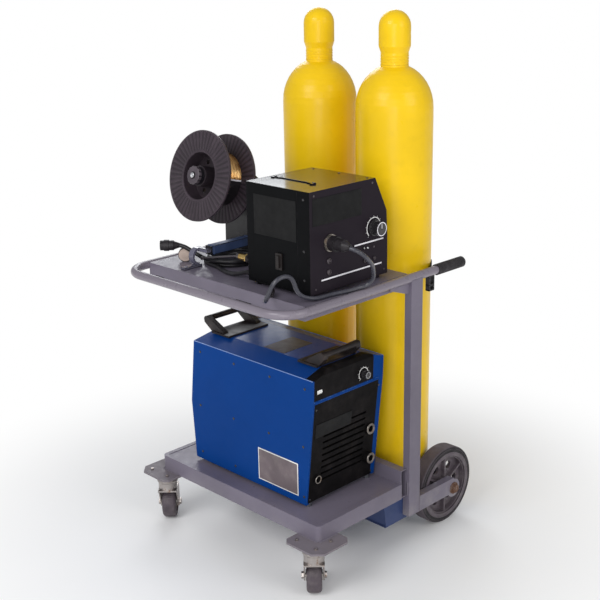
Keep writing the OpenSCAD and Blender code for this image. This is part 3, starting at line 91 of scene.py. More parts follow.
def make_camera():
    """The photo's own view, fitted to points measured in it."""
    yaw, pitch, roll = math.radians(45.4), math.radians(17.5), math.radians(-1.1)
    ahead = Vector((-math.sin(yaw) * math.cos(pitch), math.cos(yaw) * math.cos(pitch), -math.sin(pitch)))
    level = Vector((math.cos(yaw), math.sin(yaw), 0))
    over = level.cross(ahead)
    right = level * math.cos(roll) + over * math.sin(roll)
    up = over * math.cos(roll) - level * math.sin(roll)
    data = bpy.data.cameras.new("camera")
    data.sensor_width = 36
    data.lens = 1114.3 / 600 * 36
    data.clip_start, data.clip_end = 0.05, 60
    cam = show("camera", data)
    turn = Matrix((right, up, -ahead)).transposed().to_4x4()
    cam.matrix_world = Matrix.Translation(at(2304.8, -1982.3, 1775.6)) @ turn
    bpy.context.scene.camera = cam


# --- Materials ---


class Paint:
    """Builds one node material round a Principled shader."""

    def __init__(self, name):
        self.mat = bpy.data.materials.new(name)
        self.mat.use_nodes = True
        self.tree = self.mat.node_tree
        self.bsdf = self.tree.nodes["Principled BSDF"]
        self.coords = self.node("ShaderNodeTexCoord")
        self.place = self.coords.outputs["Object"]

    def feed(self, socket, value):
        """Links another socket to this one, or gives it a fixed value."""
        if isinstance(value, bpy.types.NodeSocket):
            self.tree.links.new(value, socket)
        else:
            socket.default_value = (*value, 1) if socket.type == "RGBA" else value

    def node(self, kind, inputs=None, **settings):
        """A new node with its settings made and the named or numbered inputs fed."""
        made = self.tree.nodes.new(kind)
        for key, value in settings.items():
            setattr(made, key, value)
        for key, value in (inputs or {}).items():
            self.feed(made.inputs[key], value)
        return made

    def math(self, how, a, b=0.0, clamp=False):
        return self.node("ShaderNodeMath", {0: a, 1: b}, operation=how, use_clamp=clamp).outputs[0]

    def times(self, a, b):
        return self.math("MULTIPLY", a, b)

    def rest(self, share):
        """What a share leaves of 1."""
        return self.math("SUBTRACT", 1.0, share)

    def blend(self, share, a, b):
        """A number between two others."""
        return self.math("ADD", a, self.times(self.math("SUBTRACT", b, a), share))

    def vector(self, how, a, b=(0, 0, 0)):
        """Vector arithmetic; a dot product or a length comes out as a number."""
        made = self.node("ShaderNodeVectorMath", {0: a, 1: b}, operation=how)
        return made.outputs["Value" if how in ("DOT_PRODUCT", "LENGTH") else "Vector"]

    def part(self, vector, axis):
        """One of the three numbers of a vector."""
        return self.node("ShaderNodeSeparateXYZ", {0: vector}).outputs[axis]

    def noise(self, scale, detail=4.0, rough=0.55, stretch=(1, 1, 1)):
        moved = self.node("ShaderNodeMapping", {"Scale": stretch, "Vector": self.place}).outputs[0]
        inputs = {"Vector": moved, "Scale": scale, "Detail": detail, "Roughness": rough}
        return self.node("ShaderNodeTexNoise", inputs).outputs[0]

    def ramp(self, value, low, high):
        """0 below low, 1 above high, smooth between."""
        inputs = {"Value": value, "From Min": low, "From Max": high}
        return self.node("ShaderNodeMapRange", inputs, interpolation_type="SMOOTHSTEP").outputs["Result"]

    def spread(self, value, low, high):
        """A noise value, which lies mostly between 0.3 and 0.7, spread over a range."""
        inputs = {"Value": value, "From Min": 0.3, "From Max": 0.7, "To Min": low, "To Max": high}
        return self.node("ShaderNodeMapRange", inputs).outputs["Result"]

    def mix(self, share, a, b):
        """A colour between two others."""
        made = self.node("ShaderNodeMix", data_type="RGBA")
        for name, value in (("Factor_Float", share), ("A_Color", a), ("B_Color", b)):
            self.feed(next(s for s in made.inputs if s.identifier == name), value)
        return next(s for s in made.outputs if s.identifier == "Result_Color")

    def mottled(self, scale, a, b, detail=5):
        """Two colours in soft patches."""
        return self.mix(self.ramp(self.noise(scale, detail), 0.35, 0.65), a, b)

    def dusted(self, tone, dust, amount, scale=20, low=0.45, high=0.75):
        """A film of dust in patches."""
        film = self.times(self.ramp(self.noise(scale, 7, 0.7), low, high), amount)
        return self.mix(film, tone, dust)

    def edges(self, radius):
        """Rounded normal, and how strongly a place lies on an edge."""
        bevel = self.node("ShaderNodeBevel", {"Radius": radius}, samples=6).outputs[0]
        flat = self.node("ShaderNodeNewGeometry").outputs["Normal"]
        return bevel, self.rest(self.vector("DOT_PRODUCT", bevel, flat))

    def axis_distance(self, centre, axis):
        """Distance in metres from a straight axis through a point."""
        moved = self.vector("SUBTRACT", self.place, centre)
        return self.vector("LENGTH", self.vector("CROSS_PRODUCT", moved, axis))

    def facing(self, axis=2, both=False):
        """1 where the surface looks along an axis of the frame, 0 where it looks sideways or away."""
        along = self.part(self.coords.outputs["Normal"], axis)
        return self.ramp(self.math("ABSOLUTE", along) if both else along, 0.55, 0.95)

    def grooves(self, centre, sides, count):
        """1 in the grooves between straight ribs that run out from an axis, given two sides square to it."""
        moved = self.vector("SUBTRACT", self.place, centre)
        across, over = (self.vector("DOT_PRODUCT", moved, side) for side in sides)
        wave = self.math("COSINE", self.times(self.math("ARCTAN2", over, across), count))
        return self.rest(self.ramp(wave, -0.7, 0.5))

    def bump(self, height, strength, distance, normal=None):
        inputs = {"Strength": strength, "Distance": distance, "Height": height}
        if normal is not None:
            inputs["Normal"] = normal
        return self.node("ShaderNodeBump", inputs).outputs[0]

    def set(self, **values):
        """Feeds the shader's inputs and gives the finished material."""
        for name, value in values.items():
            self.feed(self.bsdf.inputs[name.replace("_", " ")], value)
        return self.mat


# Radius in metres of the edges that a fine finish rounds.
FINE_EDGE = 0.0008


def shade(colour, factor):
    return tuple(min(1.0, c * factor) for c in colour)


def painted(name, colour, rough=0.3, peel=0.25, wear=None, wear_amount=0.5, grime=None, grime_top=0.0,
            coat=0.0, patch=0.1, shine=0.5, top_rough=None, top_coat=0.0, marks_from=0.70, front=None,
            coat_rough=0.09):
    """Sprayed or powder-coated sheet: slight colour drift, orange peel, rubbed edges, dust low down, and
    painted light on faces that look along +X where a front colour is given.
    """
    p = Paint(name)
    tone = p.mottled(3.2, shade(colour, 1 - patch), shade(colour, 1 + patch))
    tone = p.mix(p.times(p.ramp(p.noise(26, 6, 0.6), 0.5, 0.8), 0.25), tone, shade(colour, 0.75))
    # painted light: faces that look along +X take the lighter front colour
    if front:
        tone = p.mix(p.facing(0), tone, front)
    normal, edge_share = p.edges(0.0012)
    if wear:
        rub = p.times(p.ramp(edge_share, 0.02, 0.16), p.ramp(p.noise(90, 6, 0.7), 0.42, 0.62))
        tone = p.mix(p.times(rub, wear_amount), tone, wear)
        marks = p.ramp(p.noise(7, 8, 0.75, (1, 1, 9)), marks_from, marks_from + 0.04)
        tone = p.mix(p.times(marks, 0.35 * wear_amount), tone, wear)
    if grime:
        low = p.rest(p.ramp(p.part(p.place, 2), grime_top * 0.3, grime_top))
        dirt = p.times(low, p.ramp(p.noise(14, 7, 0.7), 0.35, 0.7))
        tone = p.mix(p.times(dirt, 0.6), tone, grime)
    gloss = p.spread(p.noise(40, 5), rough * 0.8, rough * 1.25)
    if top_rough is not None:
        gloss = p.blend(p.facing(), gloss, p.spread(p.noise(40, 5), top_rough * 0.8, top_rough * 1.25))
    if top_coat:
        coat = p.times(p.facing(), top_coat)
    skin = p.bump(p.noise(420, 2), peel, 0.0004, normal)
    return p.set(Base_Color=tone, Roughness=gloss, Normal=skin, Specular_IOR_Level=shine, Coat_Weight=coat,
                 Coat_Roughness=coat_rough)


def metal(name, colour, rough, rust=None, rust_amount=0.0, brushed=(1, 1, 1)):
    """Bare or plated metal with soft stains, and spots of rust where its colour is given."""
    p = Paint(name)
    tone = p.mottled(18, shade(colour, 0.82), shade(colour, 1.08))
    if rust:
        spots = p.ramp(p.noise(55, 8, 0.7), 0.62 - 0.3 * rust_amount, 0.80 - 0.3 * rust_amount)
        tone = p.mix(spots, tone, rust)
        gloss = p.math("ADD", p.times(spots, 0.45), rough, True)
        shine = p.rest(p.times(spots, 0.8))
    else:
        gloss = p.spread(p.noise(35, 5), rough * 0.75, rough * 1.3)
        shine = 1.0
    normal, _ = p.edges(FINE_EDGE)
    skin = p.bump(p.noise(180, 3, 0.6, brushed), 0.25, 0.0003, normal)
    return p.set(Base_Color=tone, Metallic=shine, Roughness=gloss, Normal=skin)


def plastic(name, colour, rough, grain, depth, dust=None, dust_amount=0.25, coat=0.0, shine=0.4):
    """Moulded plastic or rubber with a fine grain and a little dust."""
    p = Paint(name)
    tone = p.mottled(12, shade(colour, 0.85), shade(colour, 1.15))
    normal, edge_share = p.edges(FINE_EDGE)
    if dust:
        tone = p.dusted(tone, dust, dust_amount)
        tone = p.mix(p.times(p.ramp(edge_share, 0.03, 0.2), dust_amount), tone, dust)
    gloss = p.spread(p.noise(50, 4), rough * 0.85, rough * 1.2)
    skin = p.bump(p.noise(grain, 2), depth, 0.0003, normal)
    return p.set(Base_Color=tone, Roughness=gloss, Normal=skin, Specular_IOR_Level=shine, Coat_Weight=coat,
                 Coat_Roughness=0.2)


def gas_fitting(name):
    """Brass ball valve on a dull steel pipe with a dark coupling between them."""
    p = Paint(name)
    along = p.part(p.place, 0)
    tone = p.mottled(18, (0.50, 0.32, 0.10), (0.66, 0.46, 0.17))
    tone = p.mix(p.ramp(along, 0.036, 0.038), tone, (0.045, 0.040, 0.042))
    tone = p.mix(p.ramp(along, 0.004, 0.006), (0.16, 0.145, 0.155), tone)
    normal, _ = p.edges(FINE_EDGE)
    skin = p.bump(p.noise(180, 3, 0.6), 0.25, 0.0003, normal)
    return p.set(Base_Color=tone, Metallic=1.0, Roughness=p.spread(p.noise(35, 5), 0.24, 0.40), Normal=skin)


def ringed(name, colour, centre, axis, pitch, depth, rough, dust, dust_amount, side=None):
    """Turned or moulded round part: fine rings about its own axis, its sides in a colour of their own."""
    p = Paint(name)
    rings = p.math("SINE", p.times(p.axis_distance(centre, axis), 2 * math.pi / pitch))
    tone = p.mottled(24, shade(colour, 0.85), shade(colour, 1.15))
    if side:
        tone = p.mix(p.facing(0, True), tone, side)
    normal, edge_share = p.edges(0.0015)
    tone = p.dusted(tone, dust, dust_amount, 30, 0.4, 0.72)
    tone = p.mix(p.times(p.ramp(edge_share, 0.03, 0.25), dust_amount), tone, dust)
    skin = p.bump(p.noise(500, 3), 0.3, 0.0003, p.bump(rings, depth, 0.0006, normal))
    return p.set(Base_Color=tone, Roughness=p.spread(p.noise(40, 4), rough * 0.9, rough * 1.15), Normal=skin)


def ribbed(name, colour):
    """Spool plastic: fine radial ribs on the flanges with painted shade in the grooves between them, and
    painted shade inside the drum's bore.
    """
    p = Paint(name)
    start, away = spindle_turn()
    side = Vector((1, 0, 0))
    reach = p.axis_distance(start, away)
    band = p.times(p.ramp(reach, 0.076, 0.079), p.rest(p.ramp(reach, 0.130, 0.132)))
    groove = p.times(p.grooves(start, (side, away.cross(side)), 48), band)
    tone = p.mottled(12, shade(colour, 0.85), shade(colour, 1.15))
    # painted shade in the grooves between the ribs
    tone = p.mix(p.times(groove, 0.62), tone, shade(colour, 0.25))
    # painted shade in the recess inside the drum's bore
    tone = p.mix(p.rest(p.ramp(reach, 0.066, 0.072)), tone, shade(colour, 0.45))
    tone = p.dusted(tone, (0.11, 0.085, 0.10), 0.25)
    normal, _ = p.edges(FINE_EDGE)
    skin = p.bump(p.rest(groove), 0.5, 0.0012, normal)
    return p.set(Base_Color=tone, Roughness=p.spread(p.noise(50, 4), 0.38, 0.5), Normal=skin,
                 Specular_IOR_Level=0.35)


def webbing(name, colour):
    """Woven strap: threads across and along it."""
    p = Paint(name)
    woven = []
    for way, scale, distortion in (("Z", 160, 1.5), ("X", 210, 0)):
        inputs = {"Vector": p.place, "Scale": scale, "Distortion": distortion}
        woven.append(p.node("ShaderNodeTexWave", inputs, wave_type="BANDS", bands_direction=way).outputs[1])
    threads = p.times(*woven)
    tone = p.mix(threads, shade(colour, 0.7), shade(colour, 1.8))
    return p.set(Base_Color=tone, Roughness=0.85, Normal=p.bump(threads, 0.6, 0.0005), Sheen_Weight=0.3)


BARE = (0.50, 0.49, 0.48)
DUST = (0.30, 0.28, 0.27)
CART = (0.152, 0.134, 0.176)
YELLOW = (0.88, 0.565, 0.006)


def make_finishes():
    """Every material that more than one piece may use, by a short name."""
    wheel = at(0, *REAR_AXLE)
    x_axis = (1, 0, 0)
    made = {
        "cart": painted("cart_enamel", CART, 0.42, 0.3, BARE, 0.35, DUST, 0.24, shine=0.35, top_rough=0.34),
        # painted shade: the cylinder tray under the deck takes a dark blue for the shade it lies in
        "cart_painted_shade": painted("tray_painted_shade", (0.030, 0.048, 0.130), 0.45, 0.3, BARE, 0.2, shine=0.3),
        "loop": painted("loop_enamel", (0.200, 0.176, 0.212), 0.30, 0.2, BARE, 0.08, coat=0.12, patch=0.04,
                        shine=0.45),
        "plate": painted("plate_enamel", (0.165, 0.145, 0.165), 0.45, 0.4, BARE, 0.45, DUST, 0.2, shine=0.3),
        "yellow": painted("cylinder_enamel", YELLOW, 0.34, 0.35, (0.45, 0.33, 0.10), 0.3, (0.35, 0.22, 0.04),
                          0.35, coat=0.06, patch=0.05, shine=0.25, marks_from=0.76),
        "blue": painted("case_powder_coat", (0.0030, 0.043, 0.212), 0.40, 0.4, (0.16, 0.28, 0.55), 0.45,
                        patch=0.06, shine=0.04, top_coat=0.5, marks_from=0.76, coat_rough=0.26),
        # painted light: the feeder's front face is lighter and more purple than its sides
        "gloss_black": painted("feeder_enamel", (0.0044, 0.0046, 0.0052), 0.40, 0.12, (0.08, 0.07, 0.08), 0.3,
                               patch=0.2, shine=0.04, top_coat=1.0, marks_from=0.76,
                               front=(0.0205, 0.0160, 0.0215), coat_rough=0.13),
        "support": painted("support_enamel", (0.010, 0.009, 0.012), 0.30, 0.25, BARE, 0.25, shine=0.4),
        "rest": painted("rest_enamel", (0.135, 0.130, 0.185), 0.16, 0.2, BARE, 0.4, coat=0.6),
        "wheel_green": painted("handwheel_enamel", (0.05, 0.10, 0.07), 0.4, 0.3, BARE, 0.5),
        "base": metal("base_zinc", (0.20, 0.21, 0.23), 0.45),
        "zinc": metal("caster_zinc", (0.46, 0.42, 0.40), 0.34, (0.22, 0.13, 0.08), 0.35),
        "rusty": metal("rusty_bolt", (0.30, 0.24, 0.21), 0.45, (0.13, 0.065, 0.040), 1.0),
        "steel": metal("ground_steel", (0.55, 0.55, 0.56), 0.25, brushed=(1, 1, 8)),
        "dull_steel": metal("dull_steel", (0.115, 0.100, 0.110), 0.38, (0.05, 0.035, 0.03), 0.3),
        "chrome": metal("polished_toggle", (0.80, 0.80, 0.80), 0.08),
        "brass": metal("machined_brass", (0.62, 0.42, 0.14), 0.28, (0.25, 0.15, 0.06), 0.15),
        "gas_fitting": gas_fitting("gas_fitting_metal"),
        "worn_nickel": metal("worn_nickel", (0.34, 0.31, 0.28), 0.34, (0.16, 0.10, 0.06), 0.4),
        "aluminium": metal("extruded_aluminium", (0.66, 0.67, 0.69), 0.35, brushed=(1, 1, 12)),
        "core": metal("varnished_core", (0.22, 0.17, 0.13), 0.5, (0.12, 0.06, 0.03), 0.5),
        "hub": ringed("cast_hub_enamel", (0.088, 0.069, 0.084), wheel, x_axis, 0.009, 0.25, 0.5, DUST, 0.25),
        "tyre": ringed("solid_tyre_rubber", (0.083, 0.066, 0.079), wheel, x_axis, 0.0052, 0.45, 0.75,
                       (0.17, 0.15, 0.16), 0.15, (0.014, 0.012, 0.014)),
        "panel": plastic("panel_plastic", (0.0060, 0.0053, 0.0056), 0.50, 1100, 0.4, (0.036, 0.030, 0.030),
                         0.3, shine=0.06),
        "plug": plastic("plug_plastic", (0.012, 0.010, 0.012), 0.40, 700, 0.3, (0.10, 0.09, 0.10), shine=0.3),
        "moulded": plastic("handle_plastic", (0.012, 0.009, 0.009), 0.42, 900, 0.3, (0.12, 0.08, 0.07), 0.3,
                           shine=0.35),
        "knob": plastic("knob_plastic", (0.018, 0.017, 0.019), 0.22, 900, 0.15, coat=0.3),
        "knob_grey": plastic("spindle_knob_plastic", (0.070, 0.056, 0.068), 0.40, 700, 0.25,
                             (0.14, 0.12, 0.13), 0.3),
        "white": plastic("switch_plastic", (0.80, 0.80, 0.78), 0.25, 900, 0.1, coat=0.2),
        "print": plastic("face_print", (0.74, 0.72, 0.76), 0.4, 500, 0.1),
        "rubber": plastic("grip_rubber", (0.020, 0.018, 0.020), 0.60, 700, 0.5, (0.12, 0.11, 0.12), 0.35),
        "spool": ribbed("spool_plastic", (0.047, 0.034, 0.044)),
        "blue_sleeve": plastic("sleeve_plastic", (0.055, 0.085, 0.185), 0.38, 700, 0.25, (0.16, 0.16, 0.20),
                               0.3),
        "adapter": plastic("adapter_insert", (0.54, 0.43, 0.37), 0.55, 500, 0.3, (0.30, 0.22, 0.18), 0.5),
        "lead": plastic("lead_rubber", (0.010, 0.009, 0.011), 0.38, 600, 0.35, (0.12, 0.12, 0.13)),
        "grey_lead": plastic("gun_lead_rubber", (0.042, 0.042, 0.056), 0.26, 600, 0.3, (0.17, 0.16, 0.17),
                             0.22, shine=0.5),
        "board": plastic("board_laminate", (0.02, 0.14, 0.05), 0.4, 500, 0.2),
        "blank": plastic("blank_plate", (0.0035, 0.0035, 0.0040), 0.5, 1200, 0.25, (0.012, 0.012, 0.012), 0.3,
                         shine=0.2),
        "strap": webbing("strap_webbing", (0.020, 0.020, 0.024)),
    }
    along, across = CASTER_TRAIL * math.cos(CASTER_TURN), CASTER_TRAIL * math.sin(CASTER_TURN)
    axle = (-math.sin(CASTER_TURN), math.cos(CASTER_TURN), 0)
    made["caster_tyre"] = ringed("caster_rubber", (0.070, 0.054, 0.066),
                                 at(CASTER_X + along, across, CASTER_AXLE_Z), axle, 0.0045, 0.4, 0.7,
                                 (0.16, 0.14, 0.14), 0.5)
    return made


FINISH_OF = {
    "cart": ["deck", "posts", "axle_arms", "shelf_pan"],
    "plate": ["corner_plates"],
    "cart_painted_shade": ["cylinder_tray"],
    "loop": ["shelf_loop"],
    "rubber": ["hand_grips"],
    "rusty": ["axle_bolts"],
    "tyre": ["rear_tyre_right", "rear_tyre_left"],
    "caster_tyre": ["caster_tyre_right", "caster_tyre_left"],
    "hub": ["rear_hub_right", "rear_hub_left"],
    "zinc": ["caster_mounts", "caster_fork_right", "caster_fork_left", "caster_hub_right", "caster_hub_left"],
    "yellow": ["cylinder_right", "cylinder_left", "cap_right", "cap_left"],
    "brass": ["cylinder_valves"],
    "gas_fitting": ["gas_inlet"],
    "wheel_green": ["valve_wheel_right", "valve_wheel_left"],
    "blue": ["power_case"],
    "base": ["power_base", "fan_motor", "drive_motor"],
    "panel": ["control_panel", "louvre_panel", "output_sockets", "fan"],
    "moulded": ["carry_handles", "door_latch"],
    "plug": ["shelf_plugs", "lead_plugs"],
    "knob": ["power_knob", "speed_knob"],
    "white": ["power_switch"],
    "core": ["transformer"],
    "aluminium": ["heat_sink"],
    "board": ["power_board"],
    "gloss_black": ["feeder_case", "feeder_door"],
    "chrome": ["jog_switch"],
    "worn_nickel": ["gun_socket"],
    "steel": ["drive_roll", "pressure_roll", "pressure_arm"],
    "support": ["spool_support"],
    "spool": ["spool"],
}


SHARP_FOLD = math.radians(35)


def smooth(obj):
    """Shades round faces smoothly and keeps the folds sharp."""
    bm = bmesh.new()
    bm.from_mesh(obj.data)
    for face in bm.faces:
        face.smooth = True
    for edge in bm.edges:
        edge.smooth = len(edge.link_faces) == 2 and edge.calc_face_angle(0) < SHARP_FOLD
    bm.to_mesh(obj.data)
    bm.free()


def dress_nodes(finish):
    for look, names in FINISH_OF.items():
        for name in names:
            data = NODES[name].data
            data.materials.clear()
            data.materials.append(finish[look])


# --- Pieces ---


def piece(name, bm, body, look):
    """A mesh piece that rides on a body."""
    mesh = bpy.data.meshes.new(name)
    bm.normal_update()
    bm.to_mesh(mesh)
    bm.free()
    mesh.materials.append(look)
    obj = show(name, mesh)
    smooth(obj)
    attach(obj, body)
    return obj


def block_piece(name, body, look, slot, *blocks):
    """A piece made of blocks, each given as its low corner, its high corner and its bevel."""
    bm = bmesh.new()
    for low, high, bevel in blocks:
        add_block(bm, low, high, bevel)
    return piece(name, bm, body, look)


def add_cube(bm, place, bevel=0.0, segments=2):
    """A cube whose corners, at -0.5 and 0.5, go where a function says, with rounded edges."""
    made = bmesh.ops.create_cube(bm, size=1)["verts"]
    for v in made:
        v.co = place(*v.co)
    if bevel:
        edges = list({e for v in made for e in v.link_edges})
        bmesh.ops.bevel(bm, geom=edges, offset=bevel / 1000, segments=segments, affect="EDGES",
                        clamp_overlap=True)


def add_block(bm, low, high, bevel, segments=2):
    """A box between two corners in base millimetres, with rounded edges."""
    ends = list(zip(at(*low), at(*high)))
    add_cube(bm, lambda *spot: Vector([(a + b) / 2 + c * (b - a) for c, (a, b) in zip(spot, ends)]),
             bevel, segments)


def add_skin(bm, rows, ring=False):
    """Faces between closed rows of points. Both ends are capped unless the rows form a ring."""
    rows = [[bm.verts.new(point) for point in row] for row in rows]
    for a, b in list(zip(rows, rows[1:])) + ([(rows[-1], rows[0])] if ring else []):
        for k in range(len(a)):
            n = (k + 1) % len(a)
            bm.faces.new((a[k], a[n], b[n], b[k]))
    if not ring:
        bm.faces.new(rows[0][::-1])
        bm.faces.new(rows[-1])


def frame_to(direction):
    """A turn that carries +Z to a direction."""
    return Vector(direction).normalized().to_track_quat("Z", "Y").to_matrix().to_4x4()


def around(turn, radius, angle, along):
    """A point given by its radius, angle and distance along an axis, in millimetres and radians."""
    return turn @ (Vector((radius * math.cos(angle), radius * math.sin(angle), along)) / 1000)


def add_lathe(bm, centre, direction, outline, steps, ring=False):
    """Turns an outline of (along, radius) pairs, in millimetres, about an axis. A ring closes on itself."""
    turn = Matrix.Translation(centre) @ frame_to(direction)
    angles = [2 * math.pi * k / steps for k in range(steps)]
    rings = []
    for along, radius in outline:
        spots = angles if radius else angles[:1]
        rings.append([bm.verts.new(around(turn, radius, a, along)) for a in spots])
    for a, b in list(zip(rings, rings[1:])) + ([(rings[-1], rings[0])] if ring else []):
        for k in range(steps):
            n = (k + 1) % steps
            face = list(dict.fromkeys([a[k % len(a)], a[n % len(a)], b[n % len(b)], b[k % len(b)]]))
            if len(face) > 2:
                bm.faces.new(face)


def add_tube(bm, points, radius, sides):
    """Sweeps a round section along points of the frame. The radius may be a function of a point's number."""
    rows = []
    side = None
    for i, point in enumerate(points):
        run = (points[min(i + 1, len(points) - 1)] - points[max(i - 1, 0)]).normalized()
        if side is None:
            side = run.orthogonal().normalized()
        side = (side - run * side.dot(run)).normalized()
        other = run.cross(side)
        r = radius(i) if callable(radius) else radius
        angles = [2 * math.pi * k / sides for k in range(sides)]
        rows.append([point + r * (math.cos(a) * side + math.sin(a) * other) for a in angles])
    add_skin(bm, rows)


def eased(points, per):
    """A smooth line that starts and ends at the outer points and rounds the others."""
    first, last = 2 * points[0] - points[1], 2 * points[-1] - points[-2]
    held = [first, *points, last]
    line = []
    for i in range(1, len(held) - 2):
        a, b, c, d = held[i - 1:i + 3]
        for k in range(per):
            t = k / per
            line.append(((1 - t) ** 3 * a + (3 * t ** 3 - 6 * t * t + 4) * b
                         + (-3 * t ** 3 + 3 * t * t + 3 * t + 1) * c + t ** 3 * d) / 6)
    line.append(points[-1].copy())
    return line


def cord_piece(name, line, radius, look):
    """A round cord as a curve of one open spline."""
    data = bpy.data.curves.new(name, "CURVE")
    data.dimensions = "3D"
    data.bevel_depth = radius
    data.bevel_resolution = 5
    data.use_fill_caps = True
    spline = data.splines.new("POLY")
    spline.points.add(len(line) - 1)
    for target, point in zip(spline.points, line):
        target.co = (*point, 1)
    spline.use_smooth = True
    data.materials.append(look)
    obj = show(name, data)
    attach(obj, "cart")
    return obj


# --- Leads ---

CONTROL_R = 6.5
GUN_R = 6.0
# The routes repeat those of the CAD, in base millimetres.
GUN_ROUTE = [
    (380, 105, 1021), (396.2, 109.1, 1017.5), (406.8, 119.4, 1008.9), (408.4, 132.4, 998),
    (405.6, 145.6, 987), (402.8, 158.7, 976.1), (399.2, 171.3, 964.8), (392.6, 181.6, 952.6),
    (385.1, 191.2, 940.2), (377.7, 200.8, 927.9), (369.7, 209.2, 915.1), (359.4, 209.8, 901.5),
    (349.2, 201.6, 890.5), (341, 187, 888.4), (337.2, 170.1, 886.8), (334.5, 153.2, 885),
    (330.9, 136.3, 885), (327.2, 119.4, 885), (323.8, 102.4, 885), (321.9, 85.2, 885),
    (320.5, 67.9, 885), (319.2, 50.6, 885), (316.9, 33.5, 886), (312, 17.3, 889.7),
    (306.7, 1.9, 895.4), (302.2, -10.8, 906), (299.1, -19.4, 920.7), (297.6, -22.9, 937.5),
    (296, -30.3, 952.8), (294.1, -44.9, 961.3), (292.2, -62.1, 961.9), (288.2, -77.7, 956.3),
    (281.6, -86.8, 943.4), (274.5, -89.5, 927.8), (267.4, -92, 912.2), (258.3, -90.8, 897.9),
    (246.7, -81.7, 889.6), (236.1, -68.2, 888.8), (226.1, -54.1, 889.2), (216, -40, 889.6),
]
LEAD_OUT = [
    (36, 50, 902), (20, 50, 898), (2, 49, 892), (-18, 48, 887), (-40, 48, 884.8),
    (-62, 50, 884.8), (-84, 56, 884.8), (-104, 64, 884.8), (-121, 70, 884.8),
    (-137, 72, 884.8),
]
LEAD_END = [
    (-163, 72, 898.7), (-181, 71, 900), (-199, 68, 905), (-216, 63, 912),
    (-232, 57, 920.5), (-246, 51, 928), (-260, 43, 931.5),
]
COIL_AT = (-150, 150)
COIL_R = 78
COIL_TURNS = 3
COIL_RINGS = 24
COIL_PITCH = 2 * CONTROL_R + 0.9
COIL_Z = SHELF_TOP + CONTROL_R + 0.3


def coil_point(t):
    """A point of the loops: they spiral in, climb at the reversal and spiral out again."""
    away = abs(t - COIL_TURNS / 2)
    turns = 0.125 + 2 * away * away if away < 0.25 else away
    r = COIL_R - COIL_PITCH * (COIL_TURNS / 2 - turns)
    s = min(max(2 * (t - COIL_TURNS / 2) + 0.5, 0), 1)
    climb = s * s * (3 - 2 * s)
    a = math.radians(-90 - 360 * t)
    return (COIL_AT[0] + r * math.cos(a), COIL_AT[1] + r * math.sin(a), COIL_Z + COIL_PITCH * climb)


def make_cords(finish):
    """The two leads as round cords; the CAD's own leads are hidden."""
    coil = [coil_point(i / COIL_RINGS) for i in range(COIL_TURNS * COIL_RINGS + 1)]
    route = [at(*p) for p in LEAD_OUT + coil + LEAD_END]
    line = eased(route, 4)
    lead = cord_piece("control_lead_cord", line, CONTROL_R / 1000, finish["lead"])
    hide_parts("control_lead", "control_coil")
    line = eased([at(*p) for p in GUN_ROUTE], 5)
    gun = cord_piece("gun_lead_cord", line, GUN_R / 1000, finish["grey_lead"])
    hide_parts("gun_lead")


# --- Strap ---


STRAP_INNER, STRAP_THICK, STRAP_WIDTH, STRAP_Z = 115.8, 2.6, 25, 842
HOOK_X, HOOK_Y = 338.5, 495


def strap_plan():
    """The strap's inner line from above: straight from a hook to a cylinder, round its back, and mirrored."""
    dx, dy = HOOK_X - CYLINDER_X, HOOK_Y - CYLINDER_Y
    reach = math.hypot(dx, dy)
    leave = math.atan2(dy, dx) + math.acos(STRAP_INNER / reach)
    run = math.sqrt(reach ** 2 - STRAP_INNER ** 2) - 8
    half = []
    for i in range(9):
        k = run * (1 - i / 8)
        half.append((CYLINDER_X + STRAP_INNER * math.cos(leave) + k * math.sin(leave),
                     CYLINDER_Y + STRAP_INNER * math.sin(leave) - k * math.cos(leave)))
    for i in range(1, 25):
        a = leave + (math.pi / 2 - leave) * i / 24
        half.append((CYLINDER_X + STRAP_INNER * math.cos(a), CYLINDER_Y + STRAP_INNER * math.sin(a)))
    straight = [(100 - 20 * i, CYLINDER_Y + STRAP_INNER) for i in range(10)]
    return half + straight + [(-x, y) for x, y in half[::-1]]


def make_strap(finish):
    """Webbing round the backs of both cylinders, slightly swollen between its hems."""
    plan = strap_plan()
    section = ((0, -1), (0, -0.5), (0, 0), (0, 0.5), (0, 1), (1, 1), (1, 0.5), (1, 0), (1, -0.5), (1, -1))
    rows = []
    for i, (x, y) in enumerate(plan):
        before, after = plan[max(i - 1, 0)], plan[min(i + 1, len(plan) - 1)]
        out = Vector((after[1] - before[1], before[0] - after[0], 0)).normalized()
        if out.dot(Vector((x, y - CYLINDER_Y, 0))) < 0:
            out = -out
        waver = 0.18 * math.sin(i * 0.7)
        row = []
        for off, up in section:
            swell = 0.35 if off and abs(up) < 0.9 else 0
            place = at(x, y, STRAP_Z + waver + up * STRAP_WIDTH / 2)
            row.append(place + out * (off * STRAP_THICK + swell) / 1000)
        rows.append(row)
    bm = bmesh.new()
    add_skin(bm, rows)
    bmesh.ops.recalc_face_normals(bm, faces=bm.faces)
    strap = piece("strap_webbing", bm, "cart", finish["strap"])
    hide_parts("cylinder_strap")


